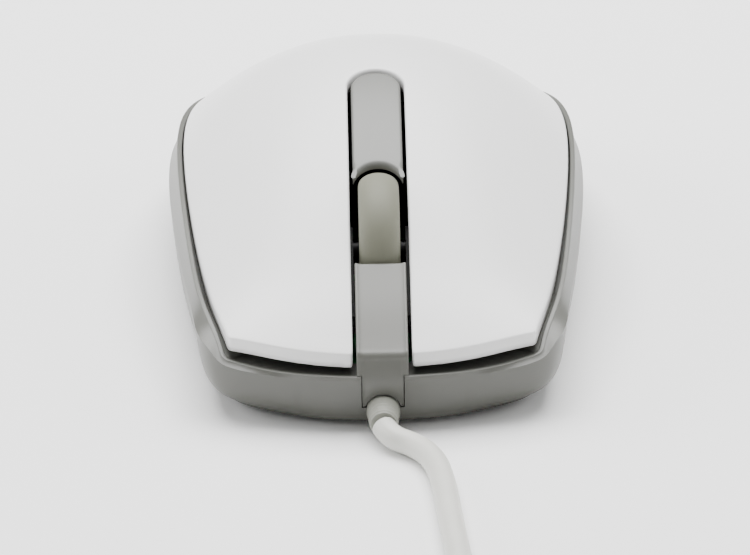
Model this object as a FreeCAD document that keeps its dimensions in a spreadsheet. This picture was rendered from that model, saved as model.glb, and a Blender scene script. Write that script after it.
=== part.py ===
import FreeCAD, Part
import math
import os
import re
import Sketcher
from FreeCAD import Placement, Rotation, Vector

# A wired computer mouse, in millimetres. The cord leaves towards -Y, the palm rests at +Y,
# +Z is up, and the origin lies on the desk under the middle of the mouse.

os.makedirs("parts", exist_ok=True)
doc = FreeCAD.newDocument("ComputerMouse")

SIZES = {
    "foot_height": 0.8, "floor_top": 2.6, "case_wall": 1.8, "cover_wall": 1.9,
    "opening_floor": 9.4, "edge_gap": 0.35, "seam_gap": 0.16,
    "slot_half": 4.2, "slot_end": 0.8, "strip_half": 3.65, "strip_drop": 0.6, "strip_thick": 1.2,
    "strip_front": -20.0,
    "strip_bow": 3.0, "bridge_rear": -39.4, "tab_half": 3.05, "tab_low": 3.5,
    "hinge_y": -3.4,
    "wheel_y": -28.0, "wheel_z": 16.6, "tyre_radius": 11.3, "tyre_half": 3.15, "tyre_bore": 8.6,
    "crown_rise": 2.3, "axle_radius": 1.0, "axle_half": 5.0, "axle_play": 0.06,
    "cheek_in": 3.8, "cheek_out": 5.1, "pivot_y": -16.0, "pivot_z": 9.6, "pivot_half": 7.4,
    "board_low": 5.0, "board_thick": 1.6, "board_half": 17.5, "board_front": -46.0, "board_rear": 17.0,
    "switch_x": 12.8, "switch_y": -35.4, "switch_long": 12.8, "switch_wide": 5.8, "switch_high": 6.5,
    "button_y": -38.0, "tact_y": -41.2, "tact_size": 6.0, "tact_high": 3.5,
    "optic_y": 8.0, "cord_size": 3.5, "relief_radius": 2.4, "relief_low": 3.0,
    "coil_x": -13.9, "coil_y": -150.0, "coil_radius": 19.25, "coil_wide": 14.0, "coil_high": 12.6,
    "plug_end": -218.0, "plug_x": 10.6, "plug_z": 4.0,
}

sheet = doc.addObject("Spreadsheet::Sheet", "Sizes")
for row, (alias, value) in enumerate(SIZES.items(), start=1):
    sheet.set(f"A{row}", alias)
    sheet.set(f"B{row}", str(value))
    sheet.setAlias(f"B{row}", alias)
doc.recompute()

nodes = {}


def size(name):
    """The value of one cell of the sheet."""
    return float(sheet.get(name))


def cells(text):
    """An expression in which each alias is a reference to the sheet."""
    return re.sub(r"[a-z][a-z_]*", lambda word: "Sizes." + word.group(0), str(text))


def value(text):
    """The number that an expression gives now."""
    total = FreeCAD.Units.parseQuantity(re.sub(r"[a-z][a-z_]*", lambda w: f"({size(w.group(0))})", str(text)))
    return float(total.Value)


def bind(thing, sizes):
    """Bind each property named in sizes to its expression."""
    for name, text in sizes.items():
        thing.setExpression(name, cells(text))
    return thing


def place(thing, x=0, y=0, z=0):
    """Put a primitive at a place given by expressions."""
    return bind(thing, {"Placement.Base.x": x, "Placement.Base.y": y, "Placement.Base.z": z})


def keep(node, thing):
    """Name a finished sub-part."""
    thing.Label = node
    nodes[node] = thing
    return thing


def box(name, low, high):
    """A box between two corners, each three expressions."""
    block = doc.addObject("Part::Box", name)
    spans = [f"({top}) - ({bottom})" for bottom, top in zip(low, high)]
    bind(block, dict(zip(("Length", "Width", "Height"), spans)))
    return place(block, *low)


def rod(name, radius, length, start, turn=None):
    """A cylinder from start along +Z, or along the axis that turn gives."""
    bar = doc.addObject("Part::Cylinder", name)
    if turn:
        bar.Placement = Placement(Vector(), turn)
    bind(bar, {"Radius": radius, "Height": length})
    return place(bar, *start)


ALONG_X = Rotation(Vector(0, 1, 0), 90)
ALONG_FRONT = Rotation(Vector(1, 0, 0), 90)


def join(name, pieces):
    """One solid fused from several."""
    whole = doc.addObject("Part::MultiFuse", name)
    whole.Shapes = pieces
    return whole


def cut(name, base, tool):
    """One solid with another taken away."""
    rest = doc.addObject("Part::Cut", name)
    rest.Base = base
    rest.Tool = tool
    return rest


def formed(name, shape):
    """A freeform piece as an object of the document."""
    piece = doc.addObject("Part::Feature", name)
    piece.Shape = shape
    piece.Placement = Placement()
    return piece


def origin_plane(body, role):
    """One of a body's own base planes."""
    return next(plane for plane in body.Origin.OriginFeatures if plane.Role == role)


def outline_sketch(body, name, role, points, offset=0):
    """A closed outline whose corners are pairs of expressions."""
    sketch = body.newObject("Sketcher::SketchObject", name)
    sketch.AttachmentSupport = [(origin_plane(body, role), "")]
    sketch.MapMode = "FlatFace"
    sketch.setExpression("AttachmentOffset.Base.z", cells(offset))
    spots = [Vector(value(across), value(along), 0) for across, along in points]
    count = len(spots)
    for index in range(count):
        sketch.addGeometry(Part.LineSegment(spots[index], spots[(index + 1) % count]))
    for index in range(count):
        sketch.addConstraint(Sketcher.Constraint("Coincident", index, 2, (index + 1) % count, 1))
    for index, (across, along) in enumerate(points):
        for kind, text, number in (("DistanceX", across, spots[index].x),
                                   ("DistanceY", along, spots[index].y)):
            made = sketch.addConstraint(Sketcher.Constraint(kind, -1, 1, index, 1, number))
            if re.search("[a-z]", str(text)):
                label = f"corner_{index}_{kind[-1].lower()}"
                sketch.renameConstraint(made, label)
                sketch.setExpression(f"Constraints.{label}", cells(text))
    return sketch


def circle_sketch(body, name, role, centre, radius, offset=0):
    """A circle whose centre and radius are expressions."""
    sketch = body.newObject("Sketcher::SketchObject", name)
    sketch.AttachmentSupport = [(origin_plane(body, role), "")]
    sketch.MapMode = "FlatFace"
    sketch.setExpression("AttachmentOffset.Base.z", cells(offset))
    middle = Vector(value(centre[0]), value(centre[1]), 0)
    sketch.addGeometry(Part.Circle(middle, Vector(0, 0, 1), value(radius)))
    for kind, text, number in (("DistanceX", centre[0], middle.x), ("DistanceY", centre[1], middle.y)):
        made = sketch.addConstraint(Sketcher.Constraint(kind, -1, 1, 0, 3, number))
        if re.search("[a-z]", str(text)):
            label = f"centre_{kind[-1].lower()}"
            sketch.renameConstraint(made, label)
            sketch.setExpression(f"Constraints.{label}", cells(text))
    made = sketch.addConstraint(Sketcher.Constraint("Radius", 0, value(radius)))
    sketch.renameConstraint(made, "radius")
    sketch.setExpression("Constraints.radius", cells(radius))
    return sketch


def pad(body, name, sketch, length, midplane=False):
    """Material raised from a sketch."""
    feature = body.newObject("PartDesign::Pad", name)
    feature.Profile = sketch
    feature.Midplane = midplane
    bind(feature, {"Length": length})
    sketch.Visibility = False
    return feature


def pocket(body, name, sketch, length):
    """Material taken away to both sides of a sketch."""
    before = body.Shape.Volume
    feature = body.newObject("PartDesign::Pocket", name)
    feature.Profile = sketch
    feature.Midplane = True
    bind(feature, {"Length": length})
    doc.recompute()
    assert feature.Shape.Volume < before, name + " cuts nothing"
    return feature


def padded(node, role, points, length, offset=0, midplane=False):
    """A sub-part raised from one outline."""
    body = doc.addObject("PartDesign::Body", node)
    sketch = outline_sketch(body, node + "_outline", role, points, offset)
    pad(body, node + "_pad", sketch, length, midplane)
    doc.recompute()
    return keep(node, body)


# ---- the outer form -------------------------------------------------------------------------
# Half outlines of the grey case, from the front centre round the +X side to the rear centre.
CASE_FOOT = [(0, -52.9), (8.2, -52.2), (15.6, -49.4), (20.4, -46.3), (23.8, -38), (27.1, -20), (29.0, 0),
             (29.6, 15), (28.4, 29), (22.8, 43), (12.6, 50.4), (0, 52.7)]
CASE_GIRTH = [(0, -54.4), (9.8, -53.6), (18.0, -51.9), (23.0, -49.6), (25.3, -46.4), (26.9, -38.5),
              (29.15, -18),
              (30.7, 0), (31.2, 14), (30.2, 28.5), (24.8, 43), (13.8, 51.8), (0, 54.4)]
CASE_RIM = [(0, -54.2), (9.6, -53.4), (17.6, -51.5), (22.4, -48.9), (24.2, -45.6), (25.6, -37.5), (28.2, -19),
            (29.6, 0), (29.8, 13), (28.6, 26.5), (23.2, 39.8), (13.0, 48.8), (0, 52.2)]
FOOT_LEVEL = 0.8
GIRTH_LEVEL = 10.4
RIM_LEVEL = 19.5

# The white cover's front edge and the rest of its half outline, with a corner between them.
COVER_FRONT = [(0, -53.3), (8, -52.7), (15, -51.1), (21.8, -48.4)]
COVER_SIDE = [(21.8, -48.4), (24.1, -38.4), (26.5, -23.1), (28.4, -1.5), (28.7, 10), (26.9, 27), (21.6, 40),
              (12.0, 49), (0, 51.5)]

# The crown: at each station along Y, the height on the centre line and the fall at REACH to the side.
CROWN = [(-60, 7.6, 0.8), (-53, 11.4, 2.1), (-46.5, 15.3, 4.6), (-40, 18.7, 8.4), (-30, 23.7, 11.8),
         (-20, 27.9, 13.6), (-10, 31.0, 14.4), (0, 33.0, 14.8), (10, 33.3, 14.6), (20, 31.1, 13.4),
         (30, 26.4, 11.9), (40, 19.8, 10.4), (48, 14.1, 9.4), (58, 6.4, 8.6)]
REACH = 29.0
CROWN_POWER = 2.15
# The height of the grey case's top edge along Y: low at the front wall, then rising along the sides.
CASE_TOP = [(-58, 8.3), (-52, 8.5), (-49, 9.3), (-45, 11.0), (-40, 12.4), (-30, 14.0), (-20, 15.6),
            (-10, 17.0), (0, 18.0), (10, 18.5), (20, 18.1), (30, 16.6), (40, 14.2), (48, 12.4), (58, 11.0)]


def mirrored(half):
    """A whole closed outline from its +X half, without repeating the two centre points."""
    return half + [(-x, y) for x, y in reversed(half[1:-1])]


def moved_in(points, depth):
    """A closed outline moved inwards by depth."""
    inner = []
    count = len(points)
    for index, (x, y) in enumerate(points):
        before = points[index - 1]
        after = points[(index + 1) % count]
        run = math.hypot(after[0] - before[0], after[1] - before[1])
        inner.append((x - depth * (after[1] - before[1]) / run, y + depth * (after[0] - before[0]) / run))
    return inner


def blended(first, second, share):
    """An outline part of the way from one to another."""
    return [(a[0] + (b[0] - a[0]) * share, a[1] + (b[1] - a[1]) * share) for a, b in zip(first, second)]


def smooth_wire(points, level):
    """A closed smooth curve through the points of an outline."""
    curve = Part.BSplineCurve()
    curve.interpolate(Points=[Vector(x, y, level) for x, y in points], PeriodicFlag=True)
    return Part.Wire([curve.toShape()])


def case_form(depth, low):
    """The case's outer form, moved in by depth and starting at a low level."""
    foot = moved_in(mirrored(CASE_FOOT), depth)
    girth = moved_in(mirrored(CASE_GIRTH), depth)
    rim = moved_in(mirrored(CASE_RIM), depth)
    levels = [(low, foot), (0.45 * GIRTH_LEVEL, blended(foot, girth, 0.62)), (GIRTH_LEVEL, girth),
              (0.5 * (GIRTH_LEVEL + RIM_LEVEL), blended(girth, rim, 0.62)), (RIM_LEVEL, rim)]
    return Part.makeLoft([smooth_wire(points, level) for level, points in levels], True, False)


def crown_solid(drop):
    """Everything below the crown lowered by drop."""
    shares = [-1.16, -0.9, -0.62, -0.32, 0, 0.32, 0.62, 0.9, 1.16]
    grid = [[Vector(share * REACH, y, top - fall * abs(share) ** CROWN_POWER - drop) for share in shares]
            for y, top, fall in CROWN]
    surface = Part.BSplineSurface()
    surface.interpolate(grid)
    return surface.toShape().extrude(Vector(0, 0, -70))


def cover_prism(outset):
    """A tall prism of the white cover's outline."""
    front = moved_in([(-x, y) for x, y in reversed(COVER_FRONT[1:])] + COVER_FRONT, -outset)
    side = mirrored_side(outset)
    front[0] = side[-1]
    front[-1] = side[0]
    edges = []
    for points in (front, side):
        curve = Part.BSplineCurve()
        curve.interpolate([Vector(x, y, 2) for x, y in points])
        edges.append(curve.toShape())
    return Part.Face(Part.Wire(edges)).extrude(Vector(0, 0, 50))


def mirrored_side(outset):
    """The side and rear outline of the cover, from the +X front corner round to the other one."""
    points = COVER_SIDE + [(-x, y) for x, y in reversed(COVER_SIDE[:-1])]
    wider = moved_in(points, -outset)
    corner = (points[0][0] + outset, points[0][1] - outset)
    wider[0] = corner
    wider[-1] = (-corner[0], corner[1])
    return wider


def block(low, high):
    """A plain box shape for trimming a freeform piece."""
    return Part.makeBox(high[0] - low[0], high[1] - low[1], high[2] - low[2], Vector(*low))


def slot_prism(half, rear, front, rise=60):
    """A long slot, open at the front and round at the rear end."""
    shape = block((-half, front, 0), (half, rear - half, rise))
    return shape.fuse(Part.makeCylinder(half, rise, Vector(0, rear - half, 0))).removeSplitter()


def case_top_solid():
    """Everything below the case's top edge."""
    curve = Part.BSplineCurve()
    curve.interpolate([Vector(-40, y, top) for y, top in CASE_TOP])
    ends = [Vector(-40, CASE_TOP[-1][0], -5), Vector(-40, CASE_TOP[0][0], -5)]
    rim = [Vector(-40, *CASE_TOP[-1]), ends[0], ends[1], Vector(-40, *CASE_TOP[0])]
    edges = [curve.toShape()] + [Part.LineSegment(a, b).toShape() for a, b in zip(rim, rim[1:])]
    return Part.Face(Part.Wire(edges)).extrude(Vector(80, 0, 0))


# ---- the lower case -------------------------------------------------------------------------
floor_level = size("floor_top")
gap = size("edge_gap")
case_skin = case_form(0, FOOT_LEVEL).common(case_top_solid())
hollow = case_form(size("case_wall"), floor_level)
low_hollow = hollow.common(block((-60, -60, 0), (60, 60, size("opening_floor"))))
opening = cover_prism(gap).common(block((-60, -60, size("opening_floor") - 0.5), (60, 60, 60)))
tub_shape = case_skin.cut(low_hollow).cut(opening.common(block((-60, -51.6, 0), (60, 60, 60))))
tub = formed("tub", tub_shape)
POST_SPOTS = [(-14, -42.5), (14, -42.5), (-14, 13.5), (14, 13.5)]
posts = [rod(f"board_post_{index}", 1.6, "board_low - floor_top + 0.5", (x, y, "floor_top - 0.5"))
         for index, (x, y) in enumerate(POST_SPOTS)]
bosses = [rod("rear_boss", 3.2, "10", (0, 40.0, "floor_top - 0.5"))]
pivot_stands = [box(f"pivot_stand_{side}", (f"{low}", "pivot_y - 2.2", "floor_top - 0.5"),
                    (f"{high}", "pivot_y + 2.2", "pivot_z + 2.4"))
                for side, low, high in (("left", -7.6, -5.6), ("right", 5.6, 7.6))]
solid_case = join("case_with_posts", [tub] + posts + bosses + pivot_stands)
pivot_hole = rod("pivot_hole", "axle_radius + axle_play", "2 * pivot_half + 2",
                 ("-(pivot_half + 1)", "pivot_y", "pivot_z"), ALONG_X)
eye_hole = box("eye_hole", (-4.5, "optic_y - 6.5", 0), (4.5, "optic_y + 6.5", "floor_top + 0.5"))
tab_notch = box("tab_notch", ("-(tab_half + 0.2)", -60, "tab_low - 0.2"), ("tab_half + 0.2", -50, 20))
cord_hole = rod("cord_hole", "relief_radius + 0.1", 8, (0, -49.5, "relief_low"), ALONG_FRONT)
screw_hole = rod("screw_hole", 1.5, 12, (0, 40.0, 0.5))
screw_seat = rod("screw_seat", 2.6, 1.6, (0, 40.0, 0.2))
front_seat = box("front_foot_seat", (-11, -47.2, 0.2), (11, -41.2, 1.2))
holes = join("case_holes", [pivot_hole, eye_hole, tab_notch, cord_hole, screw_hole, screw_seat, front_seat])
keep("lower_case", cut("lower_case", solid_case, holes))

# ---- the white cover and its two buttons ----------------------------------------------------
crown = crown_solid(0)
cover_shape = cover_prism(0).common(crown).cut(crown_solid(size("cover_wall")))
slot = slot_prism(size("slot_half"), size("slot_end"), -60)
slotted = cover_shape.cut(slot)
hinge_line = size("hinge_y")
half_seam = 0.5 * size("seam_gap")
rear_part = slotted.common(block((-60, hinge_line + half_seam, 0), (60, 60, 60)))
rear_shell = formed("rear_shell", rear_part)
screw_post = formed("screw_post", Part.makeCylinder(3.0, 30, Vector(0, 40.0, 12.2)).common(crown_solid(0.9)))
post_hole = rod("screw_post_hole", 1.1, 7, (0, 40.0, 12))
keep("palm_cover", cut("palm_cover", join("palm_with_post", [rear_shell, screw_post]), post_hole))

for side, sign in (("left", -1), ("right", 1)):
    near, far = sorted((sign * 2.0, sign * 60.0))
    half_shell = formed(side + "_shell",
                        slotted.common(block((near, -60, 0), (far, hinge_line - half_seam, 60))))
    across = sign * size("switch_x")
    press = size("board_low") + size("board_thick") + size("switch_high") + 0.86
    rib = block((across - 1.6, size("button_y") - 1.2, press), (across + 1.6, size("button_y") + 1.2, 40))
    presser = formed(side + "_presser", rib.common(crown_solid(0.9)))
    keep(side + "_button", join(side + "_button", [half_shell, presser]))

# ---- the grey centre pieces -----------------------------------------------------------------
strip_half = size("strip_half")
strip_prism = slot_prism(strip_half, size("slot_end") - 0.55, size("strip_front") - 3)
bow = size("strip_bow")
bow_radius = (strip_half ** 2 + bow ** 2) / (2 * bow)
hollow_front = Part.makeCylinder(bow_radius, 60, Vector(0, size("strip_front") + bow - bow_radius - 3, 0))
strip_prism = strip_prism.cut(hollow_front)
strip = strip_prism.common(crown_solid(size("strip_drop"))).cut(crown_solid(size("strip_drop") + size("strip_thick")))
keep("centre_strip", formed("centre_strip", strip))

bridge_prism = block((-strip_half, -54.6, 0), (strip_half, size("bridge_rear"), 60))
bridge_top = bridge_prism.common(crown_solid(-0.15)).cut(crown_solid(2.2))
tab = block((-size("tab_half"), -55.0, size("tab_low")), (size("tab_half"), -52.9, 11.4))
relief_clear = Part.makeCylinder(size("relief_radius") + 0.1, 10, Vector(0, -49, size("relief_low")),
                                 Vector(0, -1, 0))
keep("nose_bridge", formed("nose_bridge", bridge_top.fuse(tab).cut(relief_clear).removeSplitter()))

# ---- the wheel and what carries it ----------------------------------------------------------
tyre = doc.addObject("PartDesign::Body", "wheel_tyre")
TYRE = [("-tyre_half", "tyre_bore"), ("tyre_half", "tyre_bore"), ("tyre_half", "tyre_radius - crown_rise"),
        ("tyre_half - 0.5", "tyre_radius - 1.1"), ("tyre_half - 1.5", "tyre_radius - 0.3"),
        ("0", "tyre_radius"),
        ("1.5 - tyre_half", "tyre_radius - 0.3"), ("0.5 - tyre_half", "tyre_radius - 1.1"),
        ("-tyre_half", "tyre_radius - crown_rise")]


def wheel_ring(node, section):
    """A ring about the wheel's axle, from its section of (across, out from the axle)."""
    body = doc.getObject(node)
    points = [(across, f"wheel_z + {out}") for across, out in section]
    sketch = outline_sketch(body, node + "_section", "XZ_Plane", points, "-wheel_y")
    ring = body.newObject("PartDesign::Revolution", node + "_ring")
    ring.Profile = sketch
    centre = sketch.addGeometry(Part.LineSegment(Vector(-9, size("wheel_z"), 0),
                                                 Vector(9, size("wheel_z"), 0)), True)
    sketch.addConstraint(Sketcher.Constraint("Horizontal", centre))
    made = sketch.addConstraint(Sketcher.Constraint("DistanceY", -1, 1, centre, 1, size("wheel_z")))
    sketch.renameConstraint(made, "axle_height")
    sketch.setExpression("Constraints.axle_height", cells("wheel_z"))
    sketch.addConstraint(Sketcher.Constraint("DistanceX", -1, 1, centre, 1, -9))
    sketch.addConstraint(Sketcher.Constraint("DistanceX", -1, 1, centre, 2, 9))
    ring.ReferenceAxis = (sketch, ["Axis0"])
    ring.Angle = 360
    sketch.Visibility = False
    doc.recompute()
    return ring


wheel_ring("wheel_tyre", TYRE)
keep("wheel_tyre", tyre)
hub = doc.addObject("PartDesign::Body", "wheel_hub")
HUB = [("-axle_half", "0"), ("axle_half", "0"), ("axle_half", "axle_radius"), ("2.6", "axle_radius"),
       ("2.6", "2.4"), ("0.9", "2.6"), ("0.9", "6.9"), ("2.9", "7.2"), ("2.9", "tyre_bore"),
       ("-2.9", "tyre_bore"), ("-2.9", "7.2"), ("-0.9", "6.9"), ("-0.9", "2.6"), ("-2.6", "2.4"),
       ("-2.6", "axle_radius"), ("-axle_half", "axle_radius")]
wheel_ring("wheel_hub", HUB)
window = circle_sketch(hub, "encoder_window", "YZ_Plane", ("wheel_y", "wheel_z + 5.0"), 0.75)
windows = pocket(hub, "encoder_windows", window, 8)
ring_of_windows = hub.newObject("PartDesign::PolarPattern", "ring_of_windows")
ring_of_windows.Originals = [windows]
pattern_axis = doc.getObject("wheel_hub_section")
ring_of_windows.Axis = (pattern_axis, ["Axis0"])
ring_of_windows.Angle = 360
ring_of_windows.Occurrences = 12
hub.Tip = ring_of_windows
doc.recompute()
keep("wheel_hub", hub)

carrier = doc.addObject("PartDesign::Body", "wheel_carrier")
CHEEK = [(-43.2, 11.2), (-38.6, 11.2), ("wheel_y - 3.2", 13.6), ("wheel_y", 12.6), ("wheel_y + 3.2", 11.0),
         ("pivot_y - 1.6", "pivot_z - 1.7"), ("pivot_y + 1.7", "pivot_z - 1.7"),
         ("pivot_y + 1.7", "pivot_z + 1.7"),
         ("wheel_y + 2.6", "wheel_z + 2.4"), ("wheel_y - 2.6", "wheel_z + 2.4"), (-38.6, 12.8), (-43.2, 12.8)]
pad(carrier, "cheeks", outline_sketch(carrier, "cheek_outline", "YZ_Plane", CHEEK), "2 * cheek_out", True)
doc.recompute()
well = outline_sketch(carrier, "wheel_well", "XY_Plane", [("-cheek_in", -38.6), ("cheek_in", -38.6),
                      ("cheek_in", "pivot_y - 1.2"), ("-cheek_in", "pivot_y - 1.2")], "pivot_z")
pocket(carrier, "well", well, 40)
axle_hole = circle_sketch(carrier, "axle_hole", "YZ_Plane", ("wheel_y", "wheel_z"), "axle_radius + axle_play")
pocket(carrier, "axle_bore", axle_hole, 30)
pivot_pin = circle_sketch(carrier, "pivot_circle", "YZ_Plane", ("pivot_y", "pivot_z"), "axle_radius")
pad(carrier, "pivot_pin", pivot_pin, "2 * pivot_half", True)
doc.recompute()
keep("wheel_carrier", carrier)

# ---- the board and what is on it ------------------------------------------------------------
board = doc.addObject("PartDesign::Body", "circuit_board")
BOARD = [("-(board_half - 7)", "board_front"), ("board_half - 7", "board_front"),
         ("board_half", "board_front + 6"),
         ("board_half", "board_rear"), ("-board_half", "board_rear"), ("-board_half", "board_front + 6")]
pad(board, "board_sheet", outline_sketch(board, "board_outline", "XY_Plane", BOARD, "board_low"),
    "board_thick")
doc.recompute()
WELL = [(-6.2, "wheel_y - 7.5"), (6.2, "wheel_y - 7.5"), (6.2, "pivot_y - 3"), (8.4, "pivot_y - 3"),
        (8.4, "pivot_y + 3"), (-8.4, "pivot_y + 3"), (-8.4, "pivot_y - 3"), (-6.2, "pivot_y - 3")]
pocket(board, "wheel_opening", outline_sketch(board, "opening_outline", "XY_Plane", WELL, "board_low"), 8)
EYE = [(-2.4, "optic_y - 2.4"), (2.4, "optic_y - 2.4"), (2.4, "optic_y + 2.4"), (-2.4, "optic_y + 2.4")]
pocket(board, "sensor_opening", outline_sketch(board, "sensor_hole", "XY_Plane", EYE, "board_low"), 8)
keep("circuit_board", board)
BOARD_TOP = "board_low + board_thick"


def part_box(node, centre, spans, low):
    """A rectangular component standing at a height, from its centre and its spans."""
    (x, y), (wide, long, high) = centre, spans
    corners = [(f"{x} - {wide} / 2", f"{y} - {long} / 2"), (f"{x} + {wide} / 2", f"{y} - {long} / 2"),
               (f"{x} + {wide} / 2", f"{y} + {long} / 2"), (f"{x} - {wide} / 2", f"{y} + {long} / 2")]
    return padded(node, "XY_Plane", corners, high, low)


for side, across in (("left", "-switch_x"), ("right", "switch_x")):
    switch = part_box(side + "_switch", (across, "switch_y"), ("switch_wide", "switch_long", "switch_high"),
                      BOARD_TOP)
    well = [(f"{across} - 1.6", "button_y - 0.8"), (f"{across} + 1.6", "button_y - 0.8"),
            (f"{across} + 1.6", "button_y + 0.8"), (f"{across} - 1.6", "button_y + 0.8")]
    mouth = outline_sketch(switch, side + "_plunger_mouth", "XY_Plane", well, BOARD_TOP + " + switch_high")
    pocket(switch, side + "_plunger_well", mouth, 2.4)
    part_box(side + "_plunger", (across, "button_y"), (2.8, 1.2, 0.7), BOARD_TOP + " + switch_high + 0.06")
tact = part_box("middle_switch", ("0", "tact_y"), ("tact_size", "tact_size", "tact_high"), BOARD_TOP)
pocket(tact, "knob_well",
       circle_sketch(tact, "knob_mouth", "XY_Plane", (0, "tact_y"), 1.9, BOARD_TOP + " + tact_high"), 2.4)
knob = doc.addObject("PartDesign::Body", "middle_plunger")
pad(knob, "knob", circle_sketch(knob, "knob_circle", "XY_Plane", (0, "tact_y"), 1.7,
    BOARD_TOP + " + tact_high + 0.06"), 0.9)
doc.recompute()
keep("middle_plunger", knob)
for side, low, high in (("emitter", 6.4, 8.9), ("receiver", -8.9, -6.4)):
    post = box(f"encoder_{side}_body", (low, "wheel_y + 3.2", BOARD_TOP),
               (high, "wheel_y + 6.8", "wheel_z - 3.4"))
    lens_end = "6.4 - 0.5" if side == "emitter" else "-6.4 - 0.2"
    dome = rod(f"encoder_{side}_dome", 1.0, 0.7, (lens_end, "wheel_y + 5", "wheel_z - 5"), ALONG_X)
    keep("encoder_" + side, join("encoder_" + side, [post, dome]))
part_box("sensor_chip", ("0", "optic_y"), (9.2, 9.8, 3.0), BOARD_TOP)
part_box("control_chip", ("-11.5", "6"), (6.2, 10.2, 1.8), BOARD_TOP)
part_box("resonator", ("10.5", "12"), (7.0, 3.2, 5.0), BOARD_TOP)
LAMP_LEVEL = "board_low + board_thick + 3.0"
clip_block = box("clip_block", (-3, "optic_y - 12.5", BOARD_TOP), (3, "optic_y - 6.5", BOARD_TOP + " + 5.6"))
clip_bore = rod("clip_bore", 1.6, 8, (0, "optic_y - 13.5", LAMP_LEVEL), Rotation(Vector(1, 0, 0), -90))
keep("led_clip", cut("led_clip", clip_block, clip_bore))
lamp = rod("led_body", 1.5, 5.4, (0, "optic_y - 12.3", LAMP_LEVEL), Rotation(Vector(1, 0, 0), -90))
tip = doc.addObject("Part::Sphere", "led_tip")
tip.Radius = 1.5
place(tip, 0, "optic_y - 6.9", LAMP_LEVEL)
keep("illumination_led", join("illumination_led", [lamp, tip]))

lens_frame = box("lens_frame", (-4.3, "optic_y - 6.3", "floor_top - 1.2"),
                 (4.3, "optic_y + 6.3", "board_low - 0.1"))
lens_hollow = box("lens_hollow", (-3.2, "optic_y - 5.2", "floor_top - 2"),
                  (3.2, "optic_y + 5.2", "board_low - 1.1"))
lens_eye = rod("lens_eye", 1.4, 1.5, (0, "optic_y", "board_low - 2.4"))
keep("lens_plate", join("lens_plate", [cut("lens_tray", lens_frame, lens_hollow), lens_eye]))

can = rod("capacitor_can", 2.5, 7.0, (11.5, 3, BOARD_TOP))
keep("capacitor", join("capacitor", [can, rod("capacitor_foot", 2.2, 0.6, (11.5, 3, BOARD_TOP))]))
RESISTORS = [(-6, -8), (-6, -5), (-9.5, -8), (-9.5, -5), (6.5, -5), (6.5, -8)]
chips = [box(f"resistor_{index}", (x - 1.0, y - 0.6, BOARD_TOP), (x + 1.0, y + 0.6, BOARD_TOP + " + 0.6"))
         for index, (x, y) in enumerate(RESISTORS)]
small_parts = doc.addObject("Part::Compound", "small_resistors")
small_parts.Links = chips
keep("small_resistors", small_parts)
header = box("header_block", (10.6, -26.5, BOARD_TOP), (14.6, -14.5, BOARD_TOP + " + 4.2"))
header_well = box("header_well", (11.4, -25.7, BOARD_TOP + " + 1.2"), (13.8, -15.3, BOARD_TOP + " + 5"))
keep("cable_header", cut("cable_header", header, header_well))
keep("cable_connector",
     box("cable_connector", (11.5, -25.6, BOARD_TOP + " + 1.25"), (13.7, -15.4, BOARD_TOP + " + 6.6")))

# ---- feet, screw, label ---------------------------------------------------------------------
padded("front_foot", "XY_Plane", [(-10.8, -47.0), (10.8, -47.0), (10.8, -41.4), (-10.8, -41.4)], 1.15, 0)
rear_ring = rod("rear_foot_outer", 9.0, "foot_height", (0, 40.0, 0))
rear_eye = rod("rear_foot_eye", 3.4, 2, (0, 40.0, -0.5))
keep("rear_foot", cut("rear_foot", rear_ring, rear_eye))
head = rod("screw_head", 2.4, 1.2, (0, 40.0, 0.55))
shank = rod("screw_shank", 1.05, 15.5, (0, 40.0, 1.6))
keep("case_screw", join("case_screw", [head, shank]))
keep("base_label", box("base_label", (-13, 19.5, 0.66), (13, 29.5, FOOT_LEVEL - 0.01)))


# ---- the cord -------------------------------------------------------------------------------
def tube(route, radius, report=None):
    """A round tube along straight runs joined by tangent arcs."""
    points = [Vector(*spot) for spot in route]
    edges = []
    start = points[0]
    for before, corner, after in zip(points, points[1:], points[2:]):
        inward = (before - corner).normalize()
        outward = (after - corner).normalize()
        reach = 0.45 * min((before - corner).Length, (after - corner).Length)
        turn = math.pi - inward.getAngle(outward)
        if report is not None:
            report.append(reach / math.tan(turn / 2))
        first = corner + inward * reach
        last = corner + outward * reach
        middle = (inward + outward).normalize()
        bend = reach / math.tan(turn / 2)
        peak = corner + middle * (math.hypot(bend, reach) - bend)
        edges.append(Part.LineSegment(start, first).toShape())
        edges.append(Part.Arc(first, peak, last).toShape())
        start = last
    edges.append(Part.LineSegment(start, points[-1]).toShape())
    path = Part.Wire(edges)
    circle = Part.Wire([Part.Circle(points[0], points[1] - points[0], radius).toShape()])
    solid = path.makePipeShell([circle], True, False)
    expected = math.pi * radius ** 2 * path.Length
    assert abs(solid.Volume - expected) < 0.02 * expected, "the tube's volume is wrong"
    return solid, path.Length


cord_half = 0.5 * size("cord_size")
plug_x = size("plug_x")
coil_end = (plug_x, size("coil_y"), cord_half)
CORD_ROUTE = [(0, -58.6, 2.6), (0.9, -60.8, 2.0), (4.2, -62.9, 1.75), (6.8, -67.2, 1.75), (8.0, -74.6, 1.75),
              (8.6, -85.6, 1.75), (9.9, -104, 1.75), (10.3, -127, 1.75), coil_end]
TAIL_ROUTE = [(10.2, -151.5, 10.8), (10.6, -159.5, 9.3), (10.4, -167.5, 5.4), (10.6, -175, 4.2),
              (plug_x, -182.2, size("plug_z"))]
radii = []
run_solid, run_length = tube(CORD_ROUTE, cord_half, radii)
tail_solid, tail_length = tube(TAIL_ROUTE, cord_half, radii)
turns = 14
coil_length = turns * 2 * math.pi * size("coil_radius")
print("cord radii", [round(radius, 1) for radius in radii])
print("cord length", round(run_length + coil_length + tail_length, 1))
keep("cord_run", formed("cord_run", run_solid))
keep("cord_tail", formed("cord_tail", tail_solid))
coil = doc.addObject("PartDesign::Body", "cord_coil")
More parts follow.
